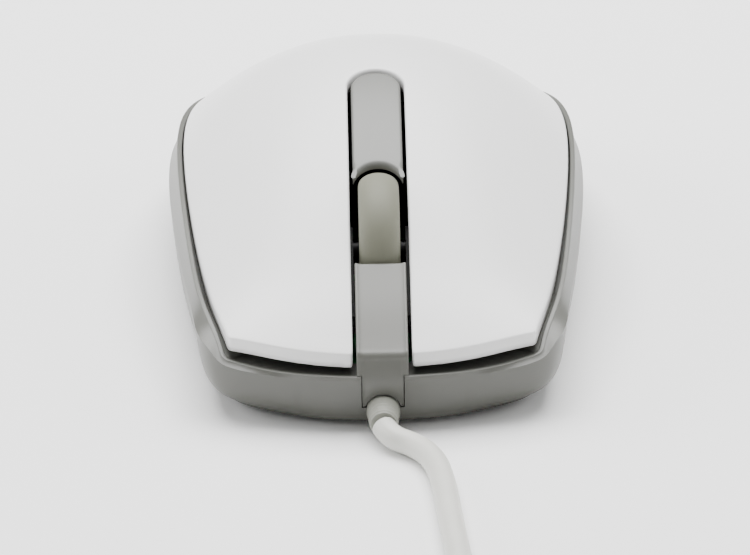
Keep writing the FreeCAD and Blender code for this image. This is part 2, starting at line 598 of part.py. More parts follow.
IN, OUT = "coil_radius - coil_wide / 2", "coil_radius + coil_wide / 2"
COIL = [(f"{IN} + 1", "0"), (f"{OUT} - 1", "0"), (OUT, "1"), (OUT, "coil_high - 1.5"),
        (f"{OUT} - 1.5", "coil_high"),
        (f"{IN} + 1.5", "coil_high"), (IN, "coil_high - 1.5"), (IN, "1")]
section = outline_sketch(coil, "coil_section", "XZ_Plane", COIL)
winding = coil.newObject("PartDesign::Revolution", "coil_ring")
winding.Profile = section
winding.ReferenceAxis = (section, ["V_Axis"])
winding.Angle = 360
bind(coil, {"Placement.Base.x": "coil_x", "Placement.Base.y": "coil_y"})
doc.recompute()
keep("cord_coil", coil)
tie_x = "coil_x - coil_radius"
tie_out = box("tie_outer", (f"{tie_x} - coil_wide / 2 - 0.9", "coil_y - 4", 0),
              (f"{tie_x} + coil_wide / 2 + 0.9", "coil_y + 4", "coil_high + 0.9"))
tie_in = box("tie_inner", (f"{tie_x} - coil_wide / 2 + 0.1", "coil_y - 5", 0.5),
             (f"{tie_x} + coil_wide / 2 - 0.1", "coil_y + 5", "coil_high - 0.1"))
keep("cord_tie", cut("cord_tie", tie_out, tie_in))

relief = doc.addObject("PartDesign::Body", "strain_relief")
RELIEF = [(0, "-58.6"), (0, "-49.6"), ("relief_radius", "-49.6"), ("relief_radius", "-55.6"),
          ("relief_radius - 0.25", "-58.6")]
points = [(f"{across}", along) for across, along in RELIEF]
relief_sketch = outline_sketch(relief, "relief_section", "XY_Plane", points, "relief_low")
sleeve = relief.newObject("PartDesign::Revolution", "relief_sleeve")
sleeve.Profile = relief_sketch
sleeve.ReferenceAxis = (relief_sketch, ["V_Axis"])
sleeve.Angle = 360
doc.recompute()
keep("strain_relief", relief)

wires = []
for index in range(4):
    level = 7.4 + 1.05 * index
    wire_route = [(0.3 * index - 0.45, -49.5, 2.5 + 0.32 * index),
                  (0.8 + 0.2 * index, -48.6, 4.2 + 0.3 * index),
                  (8.2, -47.4, level + 0.6), (9.4, -43.0, level + 0.2), (9.4, -31.5, level),
                  (9.7, -21.0, 12.4 + 0.7 * index),
                  (12.6, -23.0 + 1.7 * index, 14.6), (12.6, -22.9 + 1.7 * index, 13.25)]
    wires.append(tube(wire_route, 0.26)[0])
keep("lead_wires", formed("lead_wires", Part.makeCompound(wires)))

# ---- the plug -------------------------------------------------------------------------------
padded("plug_grip", "XY_Plane", [("plug_x - 7.8", "plug_end + 12"), ("plug_x + 7.8", "plug_end + 12"),
              ("plug_x + 7.8", "plug_end + 25"), ("plug_x + 5.5", "plug_end + 28"),
              ("plug_x - 5.5", "plug_end + 28"),
              ("plug_x - 7.8", "plug_end + 25")], 8.0)
plug_sleeve = doc.addObject("Part::Cone", "plug_sleeve_cone")
plug_sleeve.Placement = Placement(Vector(), Rotation(Vector(1, 0, 0), -90))
bind(plug_sleeve, {"Radius1": "3.0", "Radius2": "cord_size / 2 + 0.4", "Height": "-182.2 - plug_end - 28.0"})
place(plug_sleeve, "plug_x", "plug_end + 28", "plug_z")
keep("plug_relief", plug_sleeve)
shell_out = box("shell_outer", ("plug_x - 6", "plug_end", "plug_z - 2.25"),
                ("plug_x + 6", "plug_end + 12", "plug_z + 2.25"))
shell_in = box("shell_inner", ("plug_x - 5.7", "plug_end - 1", "plug_z - 1.95"),
               ("plug_x + 5.7", "plug_end + 13", "plug_z + 1.95"))
keep("plug_shell", cut("plug_shell", shell_out, shell_in))
keep("plug_tongue",
     box("plug_tongue", ("plug_x - 5.65", "plug_end + 0.6", "plug_z + 0.1"),
         ("plug_x + 5.65", "plug_end + 12", "plug_z + 1.9")))
CONTACTS = [(-3.5, 1.0), (-1.0, 2.0), (1.0, 2.0), (3.5, 1.0)]
strips = [box(f"contact_{index}", (f"plug_x + {across} - 0.5", f"plug_end + {start}", "plug_z - 0.05"),
              (f"plug_x + {across} + 0.5", "plug_end + 11.9", "plug_z + 0.1"))
          for index, (across, start) in enumerate(CONTACTS)]
contacts = doc.addObject("Part::Compound", "plug_contacts")
contacts.Links = strips
keep("plug_contacts", contacts)

# ---- check and write ------------------------------------------------------------------------
doc.recompute()
for thing in doc.Objects:
    assert not {"Invalid", "Error"} & set(thing.State), thing.Name + " failed"
for node, thing in nodes.items():
    shape = thing.Shape
    assert not shape.isNull() and shape.isValid(), node + " is not a valid shape"
    assert shape.Solids and shape.Volume > 0, node + " is not solid"
    shape.exportStep(f"parts/{node}.step")
print(len(nodes), "sub-parts")
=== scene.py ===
import math

import bmesh
import bpy
import numpy as np
from mathutils import Matrix, Vector
from mathutils.geometry import delaunay_2d_cdt


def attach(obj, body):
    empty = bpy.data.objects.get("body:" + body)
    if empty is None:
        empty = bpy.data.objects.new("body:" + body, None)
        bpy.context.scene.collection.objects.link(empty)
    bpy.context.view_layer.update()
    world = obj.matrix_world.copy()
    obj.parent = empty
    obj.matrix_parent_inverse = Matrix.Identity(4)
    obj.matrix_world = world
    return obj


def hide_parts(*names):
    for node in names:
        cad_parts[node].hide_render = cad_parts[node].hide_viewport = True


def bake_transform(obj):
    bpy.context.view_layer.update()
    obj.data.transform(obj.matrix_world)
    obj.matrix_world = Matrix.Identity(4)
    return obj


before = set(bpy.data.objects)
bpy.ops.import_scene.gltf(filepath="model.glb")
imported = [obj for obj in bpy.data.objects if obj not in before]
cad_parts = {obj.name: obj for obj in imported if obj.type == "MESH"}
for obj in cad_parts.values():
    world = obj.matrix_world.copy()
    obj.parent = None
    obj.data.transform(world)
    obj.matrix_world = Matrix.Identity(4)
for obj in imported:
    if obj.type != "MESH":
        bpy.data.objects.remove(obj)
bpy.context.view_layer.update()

# Shapes are worked out in millimetres and made in metres. The cord leaves towards -Y, +Z is up.
MM = 0.001

# ---- the view -------------------------------------------------------------------------------
VIEW_CENTRE = Vector((0.0, 0.0, 14.0)) * MM
VIEW_DISTANCE = 900.0 * MM
VIEW_ELEVATION = math.radians(22.9)
VIEW_TURN = math.radians(0.5)
VIEW_ROLL = math.radians(-0.86)
VIEW_LENS = 290.3
# How far the picture's middle lies from the view centre, to the right and upwards.
VIEW_ASIDE = (-0.45 * MM, -13.0 * MM)


def add_camera():
    """The camera in front of the mouse, a little above it, with a long lens."""
    reach = VIEW_DISTANCE * math.cos(VIEW_ELEVATION)
    height = VIEW_DISTANCE * math.sin(VIEW_ELEVATION)
    spot = VIEW_CENTRE + Vector((-reach * math.sin(VIEW_TURN), -reach * math.cos(VIEW_TURN), height))
    away = (spot - VIEW_CENTRE).normalized()
    right = Vector((0, 0, 1)).cross(away).normalized()
    up = away.cross(right)
    target = VIEW_CENTRE + right * VIEW_ASIDE[0] + up * VIEW_ASIDE[1]
    lens = bpy.data.cameras.new("camera")
    lens.lens = VIEW_LENS
    lens.clip_start = 0.05
    camera = bpy.data.objects.new("camera", lens)
    bpy.context.scene.collection.objects.link(camera)
    turned = (spot - target).to_track_quat("Z", "Y").to_matrix().to_4x4()
    camera.matrix_world = Matrix.Translation(spot) @ turned @ Matrix.Rotation(VIEW_ROLL, 4, "Z")
    bpy.context.scene.camera = camera


add_camera()


# ---- materials ------------------------------------------------------------------------------
class Wire:
    """A socket of a node tree, with arithmetic that adds Math nodes."""

    def __init__(self, paint, socket):
        self.paint = paint
        self.socket = socket

    def _math(self, operation, first, second):
        return self.paint.node("ShaderNodeMath", {"operation": operation}, {0: first, 1: second})

    def __add__(self, other):
        return self._math("ADD", self, other)

    __radd__ = __add__

    def __sub__(self, other):
        return self._math("SUBTRACT", self, other)

    def __rsub__(self, other):
        return self._math("SUBTRACT", other, self)

    def __mul__(self, other):
        return self._math("MULTIPLY", self, other)

    __rmul__ = __mul__


class Paint:
    """One material, its shader and the nodes that feed it."""

    def __init__(self, name, **constants):
        self.material = bpy.data.materials.new(name)
        self.material.use_nodes = True
        self.tree = self.material.node_tree
        self.shader = self.tree.nodes["Principled BSDF"]
        for socket, value in constants.items():
            self.shader.inputs[socket.replace("_", " ")].default_value = value
        coordinates = self.tree.nodes.new("ShaderNodeTexCoord")
        self.place = Wire(self, coordinates.outputs["Object"])

    def node(self, kind, settings, inputs, output=0):
        """Any other node: its settings first, then the values or links of its sockets."""
        made = self.tree.nodes.new(kind)
        for name, value in settings.items():
            if name == "stops":
                for index, (position, colour) in enumerate(value):
                    stop = made.color_ramp.elements[index] if index < 2 else made.color_ramp.elements.new(position)
                    stop.position = position
                    stop.color = (*colour, 1.0)
            else:
                setattr(made, name, value)
        for name, value in inputs.items():
            if isinstance(value, Wire):
                self.tree.links.new(value.socket, made.inputs[name])
            else:
                made.inputs[name].default_value = value
        return Wire(self, made.outputs[output])

    def feed(self, socket, wire):
        """Link a wire to one of the shader's sockets."""
        self.tree.links.new(wire.socket, self.shader.inputs[socket])
        return self

    def noise(self, scale, detail=4.0, roughness=0.55):
        """A noise between 0 and 1; scale counts its blobs in a metre."""
        sizes = {"Vector": self.place, "Scale": scale, "Detail": detail, "Roughness": roughness}
        return self.node("ShaderNodeTexNoise", {}, sizes)

    def mixed(self, factor, first, second):
        """A colour between two colours."""
        colours = {0: factor, 6: (*first, 1.0), 7: (*second, 1.0)}
        return self.node("ShaderNodeMix", {"data_type": "RGBA"}, colours, 2)

    def bump(self, height, strength, distance):
        """Relief of a height between 0 and 1."""
        relief = {"Height": height, "Strength": strength, "Distance": distance}
        return self.feed("Normal", self.node("ShaderNodeBump", {}, relief))


def shade(colour, factor):
    """A colour made lighter or darker."""
    return tuple(min(1.0, part * factor) for part in colour)


def moulded_plastic(name, colour, roughness, grain=5200.0, relief=0.00001, cloud=0.04, coat=0.0):
    """Moulded plastic: a fine spark-eroded grain, faint clouding and slightly uneven gloss."""
    paint = Paint(name, Coat_Roughness=0.25, IOR=1.5)
    clouds = paint.noise(38.0, 3.0)
    grains = paint.noise(grain, 2.0, 0.6)
    paint.feed("Base Color", paint.mixed(clouds, shade(colour, 1 - cloud), shade(colour, 1 + cloud)))
    paint.feed("Roughness", clouds * 0.07 + grains * 0.05 + (roughness - 0.06))
    paint.shader.inputs["Coat Weight"].default_value = coat
    paint.bump(grains, 0.35, relief)
    return paint.material


def rubber(name, colour):
    """Matt rubber with a dusty, slightly rough skin."""
    paint = Paint(name, IOR=1.48)
    dust = paint.noise(260.0, 5.0, 0.65)
    grains = paint.noise(7000.0, 2.0)
    paint.feed("Base Color", paint.mixed(dust, shade(colour, 0.93), shade(colour, 1.08)))
    paint.feed("Roughness", dust * 0.12 + 0.56)
    paint.bump(grains * 0.6 + dust * 0.4, 0.4, 0.00002)
    return paint.material


def vinyl(name, colour):
    """Soft cord vinyl: satin, with a faint grain and a little handling wear."""
    paint = Paint(name, IOR=1.5, Subsurface_Weight=0.06, Subsurface_Scale=0.0012)
    paint.shader.inputs["Subsurface Radius"].default_value = (1.0, 0.9, 0.7)
    wear = paint.noise(120.0, 4.0)
    grains = paint.noise(4200.0, 2.0)
    paint.feed("Base Color", paint.mixed(wear, shade(colour, 0.95), shade(colour, 1.04)))
    paint.feed("Roughness", wear * 0.14 + 0.36)
    paint.bump(grains, 0.25, 0.00001)
    return paint.material


def plated_metal(name, colour, roughness):
    """Plated sheet metal with fine rolling lines."""
    paint = Paint(name, Metallic=1.0)
    stretch = paint.node("ShaderNodeMapping", {}, {"Vector": paint.place, "Scale": (9000.0, 260.0, 9000.0)})
    lines = paint.node("ShaderNodeTexNoise", {}, {"Vector": stretch, "Scale": 1.0, "Detail": 3.0})
    paint.feed("Base Color", paint.mixed(lines, shade(colour, 0.9), shade(colour, 1.06)))
    paint.feed("Roughness", lines * 0.16 + (roughness - 0.08))
    paint.bump(lines, 0.2, 0.000006)
    return paint.material


def clear_plastic(name, colour, roughness):
    """Clear moulded plastic, faintly clouded."""
    paint = Paint(name, Transmission_Weight=0.85, IOR=1.49)
    clouds = paint.noise(500.0)
    paint.feed("Base Color", paint.mixed(clouds, shade(colour, 0.94), shade(colour, 1.02)))
    paint.feed("Roughness", clouds * 0.08 + roughness)
    return paint.material


def solder_mask(name):
    """Green board lacquer with faint copper tracks under it."""
    paint = Paint(name, Coat_Weight=0.6, Coat_Roughness=0.15)
    weave = paint.node("ShaderNodeTexVoronoi", {"distance": "MANHATTAN"},
                       {"Vector": paint.place, "Scale": 420.0})
    tracks = paint.node("ShaderNodeMath", {"operation": "GREATER_THAN"}, {0: weave, 1: 0.42})
    paint.feed("Base Color", paint.mixed(tracks, (0.012, 0.10, 0.035), (0.025, 0.17, 0.055)))
    paint.feed("Roughness", paint.noise(900.0) * 0.1 + 0.32)
    paint.bump(tracks, 0.3, 0.00003)
    return paint.material


def woven_band(name, colour):
    """Hook and loop band: a short, close fuzzy pile."""
    paint = Paint(name, Sheen_Weight=0.5)
    pile = paint.node("ShaderNodeTexVoronoi", {}, {"Vector": paint.place, "Scale": 1900.0})
    paint.feed("Base Color", paint.mixed(pile, shade(colour, 0.7), shade(colour, 1.8)))
    paint.feed("Roughness", pile * 0.2 + 0.75)
    paint.bump(pile, 0.8, 0.00012)
    return paint.material


WHITE = moulded_plastic("white_shell", (0.87, 0.87, 0.865), 0.36, grain=6500.0, relief=0.000005, cloud=0.012)
GREY_CASE = moulded_plastic("grey_case", (0.104, 0.105, 0.093), 0.40, cloud=0.03)
GREY_STRIP = moulded_plastic("grey_strip", (0.152, 0.154, 0.142), 0.38, cloud=0.02)
BRIDGE = moulded_plastic("grey_bridge", (0.115, 0.116, 0.103), 0.36, cloud=0.02)
TYRE = rubber("wheel_rubber", (0.156, 0.158, 0.116))
# Near-black paint for the inner parts seen through the slots: painted shade for the dark inside of the case.
PAINTED_SHADE_BLACK = moulded_plastic("painted_shade_black", (0.012, 0.012, 0.012), 0.5)
CHIP_BLACK = moulded_plastic("chip_black", (0.02, 0.02, 0.022), 0.45)
NYLON = moulded_plastic("natural_nylon", (0.66, 0.63, 0.54), 0.45)
SIGNAL_RED = moulded_plastic("signal_red", (0.45, 0.03, 0.02), 0.4)
CORD_SKIN = vinyl("cord_skin", (0.60, 0.60, 0.555))
# The sleeve's vinyl is the cord's vinyl made darker: painted shade for the case's shadow over the sleeve.
RELIEF_SKIN_PAINTED_SHADE = vinyl("relief_skin", (0.25, 0.254, 0.220))
PLUG_PLASTIC = moulded_plastic("plug_plastic", (0.50, 0.50, 0.465), 0.45, grain=3800.0, relief=0.00002)
STEEL = plated_metal("plated_steel", (0.66, 0.66, 0.67), 0.28)
GOLD = plated_metal("gold_plate", (0.85, 0.62, 0.26), 0.25)
BOARD = solder_mask("board_lacquer")
CLEAR = clear_plastic("clear_lens", (0.93, 0.95, 0.96), 0.06)
RED_LENS = clear_plastic("red_lens", (0.85, 0.10, 0.07), 0.12)
PAD = moulded_plastic("foot_pad", (0.035, 0.035, 0.036), 0.3, grain=2600.0, relief=0.00002)
LABEL = plated_metal("blank_label", (0.62, 0.63, 0.62), 0.42)
BAND = woven_band("tie_band", (0.02, 0.02, 0.022))
WIRE_SKIN = vinyl("wire_skin", (0.22, 0.24, 0.26))


# ---- lines and outlines ---------------------------------------------------------------------
def smooth_line(stations):
    """A natural cubic line through (position, value...) stations, as a function of position."""
    table = np.array(stations, float)
    spots, values = table[:, 0], table[:, 1:]
    gaps = np.diff(spots)
    count = len(spots)
    system = np.eye(count)
    target = np.zeros_like(values)
    for index in range(1, count - 1):
        before, after = gaps[index - 1], gaps[index]
        system[index, index - 1: index + 2] = before, 2 * (before + after), after
        target[index] = 6 * ((values[index + 1] - values[index]) / after
                             - (values[index] - values[index - 1]) / before)
    curving = np.linalg.solve(system, target)

    def at(position):
        where = np.asarray(position, float)
        index = np.clip(np.searchsorted(spots, where) - 1, 0, count - 2)
        width = gaps[index][..., None]
        left = (spots[index + 1] - where)[..., None] / width
        right = 1 - left
        bend = (left ** 3 - left) * curving[index] + (right ** 3 - right) * curving[index + 1]
        found = left * values[index] + right * values[index + 1] + bend * width ** 2 / 6
        return found if found.shape[-1] > 1 else found[..., 0]

    return at


def through(points, spacing):
    """A smooth open line through points, as dense points about a spacing apart."""
    points = np.array(points, float)
    travel = np.concatenate([[0], np.cumsum(np.linalg.norm(np.diff(points, axis=0), axis=1))])
    line = smooth_line(np.column_stack([travel, points]))
    return line(np.linspace(0, travel[-1], max(3, int(round(travel[-1] / spacing)))))


def ring_through(half, count):
    """A smooth closed outline, mirrored from its +X half, as count points evenly spaced."""
    whole = list(half) + [(-x, y) for x, y in reversed(half[1:-1])]
    points = np.array(whole * 3 + whole[:1], float)
    travel = np.concatenate([[0], np.cumsum(np.linalg.norm(np.diff(points, axis=0), axis=1))])
    line = smooth_line(np.column_stack([travel, points]))
    start, end = travel[len(whole)], travel[2 * len(whole)]
    return line(np.linspace(start, end, count, endpoint=False))


def normals_in(ring):
    """Unit directions pointing into an anticlockwise closed outline."""
    along = np.roll(ring, -1, axis=0) - np.roll(ring, 1, axis=0)
    along /= np.linalg.norm(along, axis=1)[:, None]
    return np.column_stack([-along[:, 1], along[:, 0]])


def joined(parts, radius, spacing):
    """A closed outline from dense lines laid end to end, with each corner between them rounded."""
    trimmed = []
    for part in parts:
        start = np.linalg.norm(part - part[0], axis=1) > radius
        end = np.linalg.norm(part - part[-1], axis=1) > radius
        trimmed.append(part[start & end])
    outline = []
    for index, part in enumerate(trimmed):
        following = trimmed[(index + 1) % len(parts)]
        corner = parts[index][-1]
        steps = max(3, int(math.ceil(1.6 * radius / spacing)))
        share = np.linspace(0, 1, steps + 1)[1:-1, None]
        bend = part[-1] * (1 - share) ** 2 + corner * 2 * share * (1 - share) + following[0] * share ** 2
        outline += [part, bend]
    return np.vstack(outline)


def inside(points, ring):
    """Which points lie inside a closed outline."""
    x, y = points[:, 0][:, None], points[:, 1][:, None]
    first, second = ring, np.roll(ring, -1, axis=0)
    crosses = (first[:, 1] > y) != (second[:, 1] > y)
    rise = np.where(second[:, 1] == first[:, 1], 1e-9, second[:, 1] - first[:, 1])
    where = first[:, 0] + (y - first[:, 1]) * (second[:, 0] - first[:, 0]) / rise
    return (np.sum(crosses & (x < where), axis=1) % 2).astype(bool)


# ---- meshes ---------------------------------------------------------------------------------
def piece(name, points, faces, paint, body, smooth=True):
    """A finished mesh object from points in millimetres, riding on a body."""
    mesh = bpy.data.meshes.new(name)
    mesh.from_pydata([tuple(point) for point in np.asarray(points, float) * MM], [],
                     [tuple(face) for face in faces])
    mesh.validate()
    form = bmesh.new()
    form.from_mesh(mesh)
    bmesh.ops.remove_doubles(form, verts=form.verts, dist=0.0000005)
    bmesh.ops.recalc_face_normals(form, faces=form.faces)
    form.to_mesh(mesh)
    form.free()
    for polygon in mesh.polygons:
        polygon.use_smooth = smooth
    mesh.materials.append(paint)
    made = bpy.data.objects.new(name, mesh)
    bpy.context.scene.collection.objects.link(made)
    if body:
        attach(made, body)
    return made


def sharpen(made, degrees=38.0):
    """Smooth shading that stops at edges sharper than an angle."""
    made.data.set_sharp_from_angle(angle=math.radians(degrees))
    return made


def fill(rings, inner):
    """Triangles between an outline and any holes in it, with more points inside."""
    points = np.vstack(list(rings) + [inner])
    edges = []
    start = 0
    for ring in rings:
        edges += [(start + index, start + (index + 1) % len(ring)) for index in range(len(ring))]
        start += len(ring)
    found = delaunay_2d_cdt([Vector(point) for point in points], edges, [], 0, 0.00001)
    spots = np.array([tuple(spot) for spot in found[0]])
    corners = np.array([tuple(face) for face in found[2]])
    middle = spots[corners].mean(axis=1)
    wanted = inside(middle, rings[0])
    for hole in rings[1:]:
        wanted &= ~inside(middle, hole)
    origin = np.array([sources[0] if sources else np.argmin(np.linalg.norm(points - spot, axis=1))
                       for sources, spot in zip(found[3], spots)])
    return origin[corners[wanted]]


def grid_inside(ring, spacing, margin):
    """Evenly spread points inside an outline, clear of its edge by a margin."""
    low, high = ring.min(axis=0), ring.max(axis=0)
    rows = np.arange(low[1], high[1], spacing * 0.866)
    spots = [(x + (index % 2) * spacing / 2, y) for index,
             y in enumerate(rows) for x in np.arange(low[0], high[0], spacing)]
    spots = np.array(spots)
    spots = spots[inside(spots, ring)]
    nearest = np.concatenate([np.linalg.norm(part[:, None] - ring[None], axis=2).min(axis=1)
                              for part in np.array_split(spots, 24) if len(part)])
    return spots[nearest > margin]


def ring_faces(start, count, rings):
    """Quads between rings of count points that follow each other from a start index."""
    faces = []
    for level in range(rings - 1):
        low = start + level * count
        for index in range(count):
            after = (index + 1) % count
            faces.append((low + index, low + after, low + count + after, low + count + index))
    return faces


def moulding(ring, height, edge, depth, spacing=1.1, steps=5):
    """Points and faces of a moulded skin: a height over an outline, a rounded edge and an even thickness."""
    inward = normals_in(ring)
    edge = np.broadcast_to(edge, len(ring))[:, None]
    levels = []
    for turn in np.linspace(0, math.pi / 2, steps):
        flat = ring + inward * edge * (1 - math.sin(turn))
        levels.append(np.column_stack([flat, height(flat) - edge[:, 0] * (1 - math.cos(turn))]))
    for share in (0.55, 1.0):
        sunk = height(ring) - edge[:, 0] - (depth - edge[:, 0]) * share
        levels.append(np.column_stack([ring, sunk]))
    top = levels[0][:, :2]
    inner = grid_inside(top, spacing, 0.55 * spacing)
    triangles = fill([top], inner)
    count, rings = len(ring), len(levels)
    points = np.vstack(levels + [np.column_stack([inner, height(inner)]),
                                 np.column_stack([inner, height(inner) - depth])])
    above = np.where(triangles < count, triangles, triangles - count + count * rings)
    below = np.where(triangles < count, triangles + count * (rings - 1),
                     triangles - count + count * rings + len(inner))
    faces = [tuple(face) for face in above] + [tuple(face[::-1]) for face in below]
    return points, faces + ring_faces(0, count, rings)


def slab(ring, low, high, edge, steps=4):
    """Points and faces of a flat plate over an outline with its upper and lower edges rounded."""
    inward = normals_in(ring)
    levels = []
    for turn in np.linspace(0, math.pi / 2, steps):
        levels.append((ring + inward * edge * (1 - math.sin(turn)), low + edge * (1 - math.cos(turn))))
    for turn in np.linspace(math.pi / 2, 0, steps):
        levels.append((ring + inward * edge * (1 - math.sin(turn)), high - edge * (1 - math.cos(turn))))
    points = np.vstack([np.column_stack([flat, np.full(len(flat), level)]) for flat, level in levels])
    count = len(ring)
    last = count * (len(levels) - 1)
    caps = [tuple(range(count))[::-1], tuple(range(last, last + count))]
    return points, ring_faces(0, count, len(levels)) + caps


def rounded_box(wide, long, radius, centre=(0.0, 0.0), steps=6):
    """A closed rectangular outline with rounded corners."""
    ring = []
    for quarter in range(4):
        x = (wide / 2 - radius) * (1 if quarter in (0, 3) else -1)
        y = (long / 2 - radius) * (1 if quarter in (0, 1) else -1)
        for turn in np.linspace(0, math.pi / 2, steps):
            angle = turn + quarter * math.pi / 2
            ring.append((centre[0] + x + radius * math.cos(angle), centre[1] + y + radius * math.sin(angle)))
    return np.array(ring)


def circle(radius, centre=(0.0, 0.0), count=48):
    """A closed round outline."""
    turn = np.arange(count) * 2 * math.pi / count
    return np.column_stack([centre[0] + radius * np.cos(turn), centre[1] + radius * np.sin(turn)])


def turned(profile, count, origin, axis):
    """Points and faces of a shape turned about an axis, from (along, radius) pairs; radius 0 closes it."""
    along = Vector(axis).normalized()
    across = along.orthogonal().normalized()
    other = along.cross(across)
    points = []
    for distance, radius in profile:
        for step in range(count):
            angle = 2 * math.pi * step / count
            swing = across * math.cos(angle) + other * math.sin(angle)
            points.append(Vector(origin) + along * distance + swing * radius)
    return np.array([tuple(point) for point in points]), ring_faces(0, count, len(profile))


def carve(made, *cutters):
    """Take other closed meshes away from a piece and clear them up."""
    for cutter in cutters:
        change = made.modifiers.new("carve", "BOOLEAN")
        change.operation = "DIFFERENCE"
        change.solver = "EXACT"
        change.object = cutter
    bpy.context.view_layer.update()
    shaped = made.evaluated_get(bpy.context.evaluated_depsgraph_get())
    mesh = bpy.data.meshes.new_from_object(shaped)
    made.modifiers.clear()
    made.data = mesh
    for cutter in cutters:
        bpy.data.objects.remove(cutter)
    for polygon in made.data.polygons:
        polygon.use_smooth = True
    return made


def cutter(name, points_faces):
    """A closed mesh that carve takes away."""
    return piece(name, *points_faces, PAINTED_SHADE_BLACK, None)


# ---- the cord -------------------------------------------------------------------------------
CORD_SIZE = 3.5
COIL_CENTRE = (-13.9, -150.0)
COIL_LAYERS = [(24.5, 21.0, 17.5, 14.0), (15.75, 19.25, 22.75), (24.5, 21.0, 17.5, 14.0),
               (15.75, 19.25, 22.75)]
LAYER_RISE = CORD_SIZE * math.sqrt(3) / 2
TURN_POINTS = 20
CORD_ROUTE = [(0, -58.6, 2.6), (0.9, -60.8, 2.0), (4.2, -62.9, 1.75), (6.8, -67.2, 1.75), (8.0, -74.6, 1.75),
              (8.6, -85.6, 1.75), (9.9, -104, 1.75), (10.3, -127, 1.75)]
TAIL_ROUTE = [(10.6, -159.5, 9.3), (10.4, -167.5, 5.4), (10.6, -175, 4.2), (10.6, -182.2, 4.0)]


def coil_points():
    """The coil's turns, wound clockwise from its +X side, each keeping its own place in the bundle."""
    slots = [(radius, CORD_SIZE / 2 + layer * LAYER_RISE)
             for layer, radii in enumerate(COIL_LAYERS) for radius in radii]
    points = []
    for index, (radius, level) in enumerate(slots):
        next_radius, next_level = slots[min(index + 1, len(slots) - 1)]
        for step in range(TURN_POINTS):
            share = step / TURN_POINTS
            late = max(0.0, (share - 0.72) / 0.28)
            ease = late * late * (3 - 2 * late)
            reach = (radius + (next_radius - radius) * ease) * 1.008
            angle = -2 * math.pi * share
            points.append((COIL_CENTRE[0] + reach * math.cos(angle), COIL_CENTRE[1] + reach * math.sin(angle),
                           level + (next_level - level) * ease))
    return points


def add_cord():
    """The whole cord as one curve: along the desk, round the coil and on to the plug."""
    points = CORD_ROUTE + coil_points() + TAIL_ROUTE
    line = bpy.data.curves.new("cord", "CURVE")
    line.dimensions = "3D"
    spline = line.splines.new("NURBS")
    spline.points.add(len(points) - 1)
    for point, spot in zip(spline.points, points):
        point.co = (spot[0] * MM, spot[1] * MM, spot[2] * MM, 1.0)
    spline.order_u = 3
    spline.use_endpoint_u = True
    spline.resolution_u = 6
    line.bevel_depth = CORD_SIZE / 2 * MM
    line.bevel_resolution = 6
    line.use_fill_caps = True
    line.materials.append(CORD_SKIN)
    cord = bpy.data.objects.new("cord", line)
    bpy.context.scene.collection.objects.link(cord)
    return cord


cord = add_cord()
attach(cord, "housing")
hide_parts("cord_run", "cord_coil", "cord_tail")


# ---- the outer form, as the CAD model has it ------------------------------------------------
CASE_FOOT = [(0, -52.9), (8.2, -52.2), (15.6, -49.4), (20.4, -46.3), (23.8, -38), (27.1, -20), (29.0, 0),
             (29.6, 15), (28.4, 29), (22.8, 43), (12.6, 50.4), (0, 52.7)]
CASE_GIRTH = [(0, -54.4), (9.8, -53.6), (18.0, -51.9), (23.0, -49.6), (25.3, -46.4), (26.9, -38.5),
              (29.15, -18),
              (30.7, 0), (31.2, 14), (30.2, 28.5), (24.8, 43), (13.8, 51.8), (0, 54.4)]
COVER_FRONT = [(0, -53.3), (8, -52.7), (15, -51.1), (21.8, -48.4)]
COVER_SIDE = [(21.8, -48.4), (24.1, -38.4), (26.5, -23.1), (28.4, -1.5), (28.7, 10), (26.9, 27), (21.6, 40),
              (12.0, 49), (0, 51.5)]
CROWN = [(-60, 7.6, 0.8), (-53, 11.4, 2.1), (-46.5, 15.3, 4.6), (-40, 18.7, 8.4), (-30, 23.7, 11.8),
         (-20, 27.9, 13.6), (-10, 31.0, 14.4), (0, 33.0, 14.8), (10, 33.3, 14.6), (20, 31.1, 13.4),
         (30, 26.4, 11.9), (40, 19.8, 10.4), (48, 14.1, 9.4), (58, 6.4, 8.6)]
REACH = 29.0
CROWN_POWER = 2.15
CASE_TOP = [(-58, 8.3), (-52, 8.5), (-49, 9.3), (-45, 11.0), (-40, 12.4), (-30, 14.0), (-20, 15.6),
            (-10, 17.0), (0, 18.0), (10, 18.5), (20, 18.1), (30, 16.6), (40, 14.2), (48, 12.4), (58, 11.0)]
GIRTH_TOP = [(-58, 7.7), (-50, 8.7), (-46.5, 10.0), (-42, 10.8), (-30, 11.0), (-10, 11.3), (10, 11.5),
             (30, 10.8),
             (58, 9.0)]
FOOT_LEVEL = 0.8
HINGE_Y = -3.4
SLOT_HALF = 4.2
SLOT_END = 0.8

crown_line = smooth_line(CROWN)
case_top = smooth_line(CASE_TOP)
girth_top = smooth_line(GIRTH_TOP)
opening_gap = smooth_line([(-60, 0.62), (-50.5, 0.55), (-47, 0.42), (-43, 0.62), (-37, 0.85), (-28, 0.7),
                           (-15, 0.45),
                           (5, 0.3), (60, 0.28)])


def crown(points, drop=0.0):
    """Height of the white cover's form over points of the plan."""
    ridge = crown_line(points[:, 1])
    return ridge[:, 0] - ridge[:, 1] * (np.abs(points[:, 0]) / REACH) ** CROWN_POWER - drop


def half_ring(points):
    """The same line on the -X side, running the other way."""
    return np.column_stack([-points[::-1, 0], points[::-1, 1]])


cover_front = through(COVER_FRONT, 0.5)
cover_side = through(COVER_SIDE + [(-x, y) for x, y in reversed(COVER_SIDE[:-1])], 0.7)


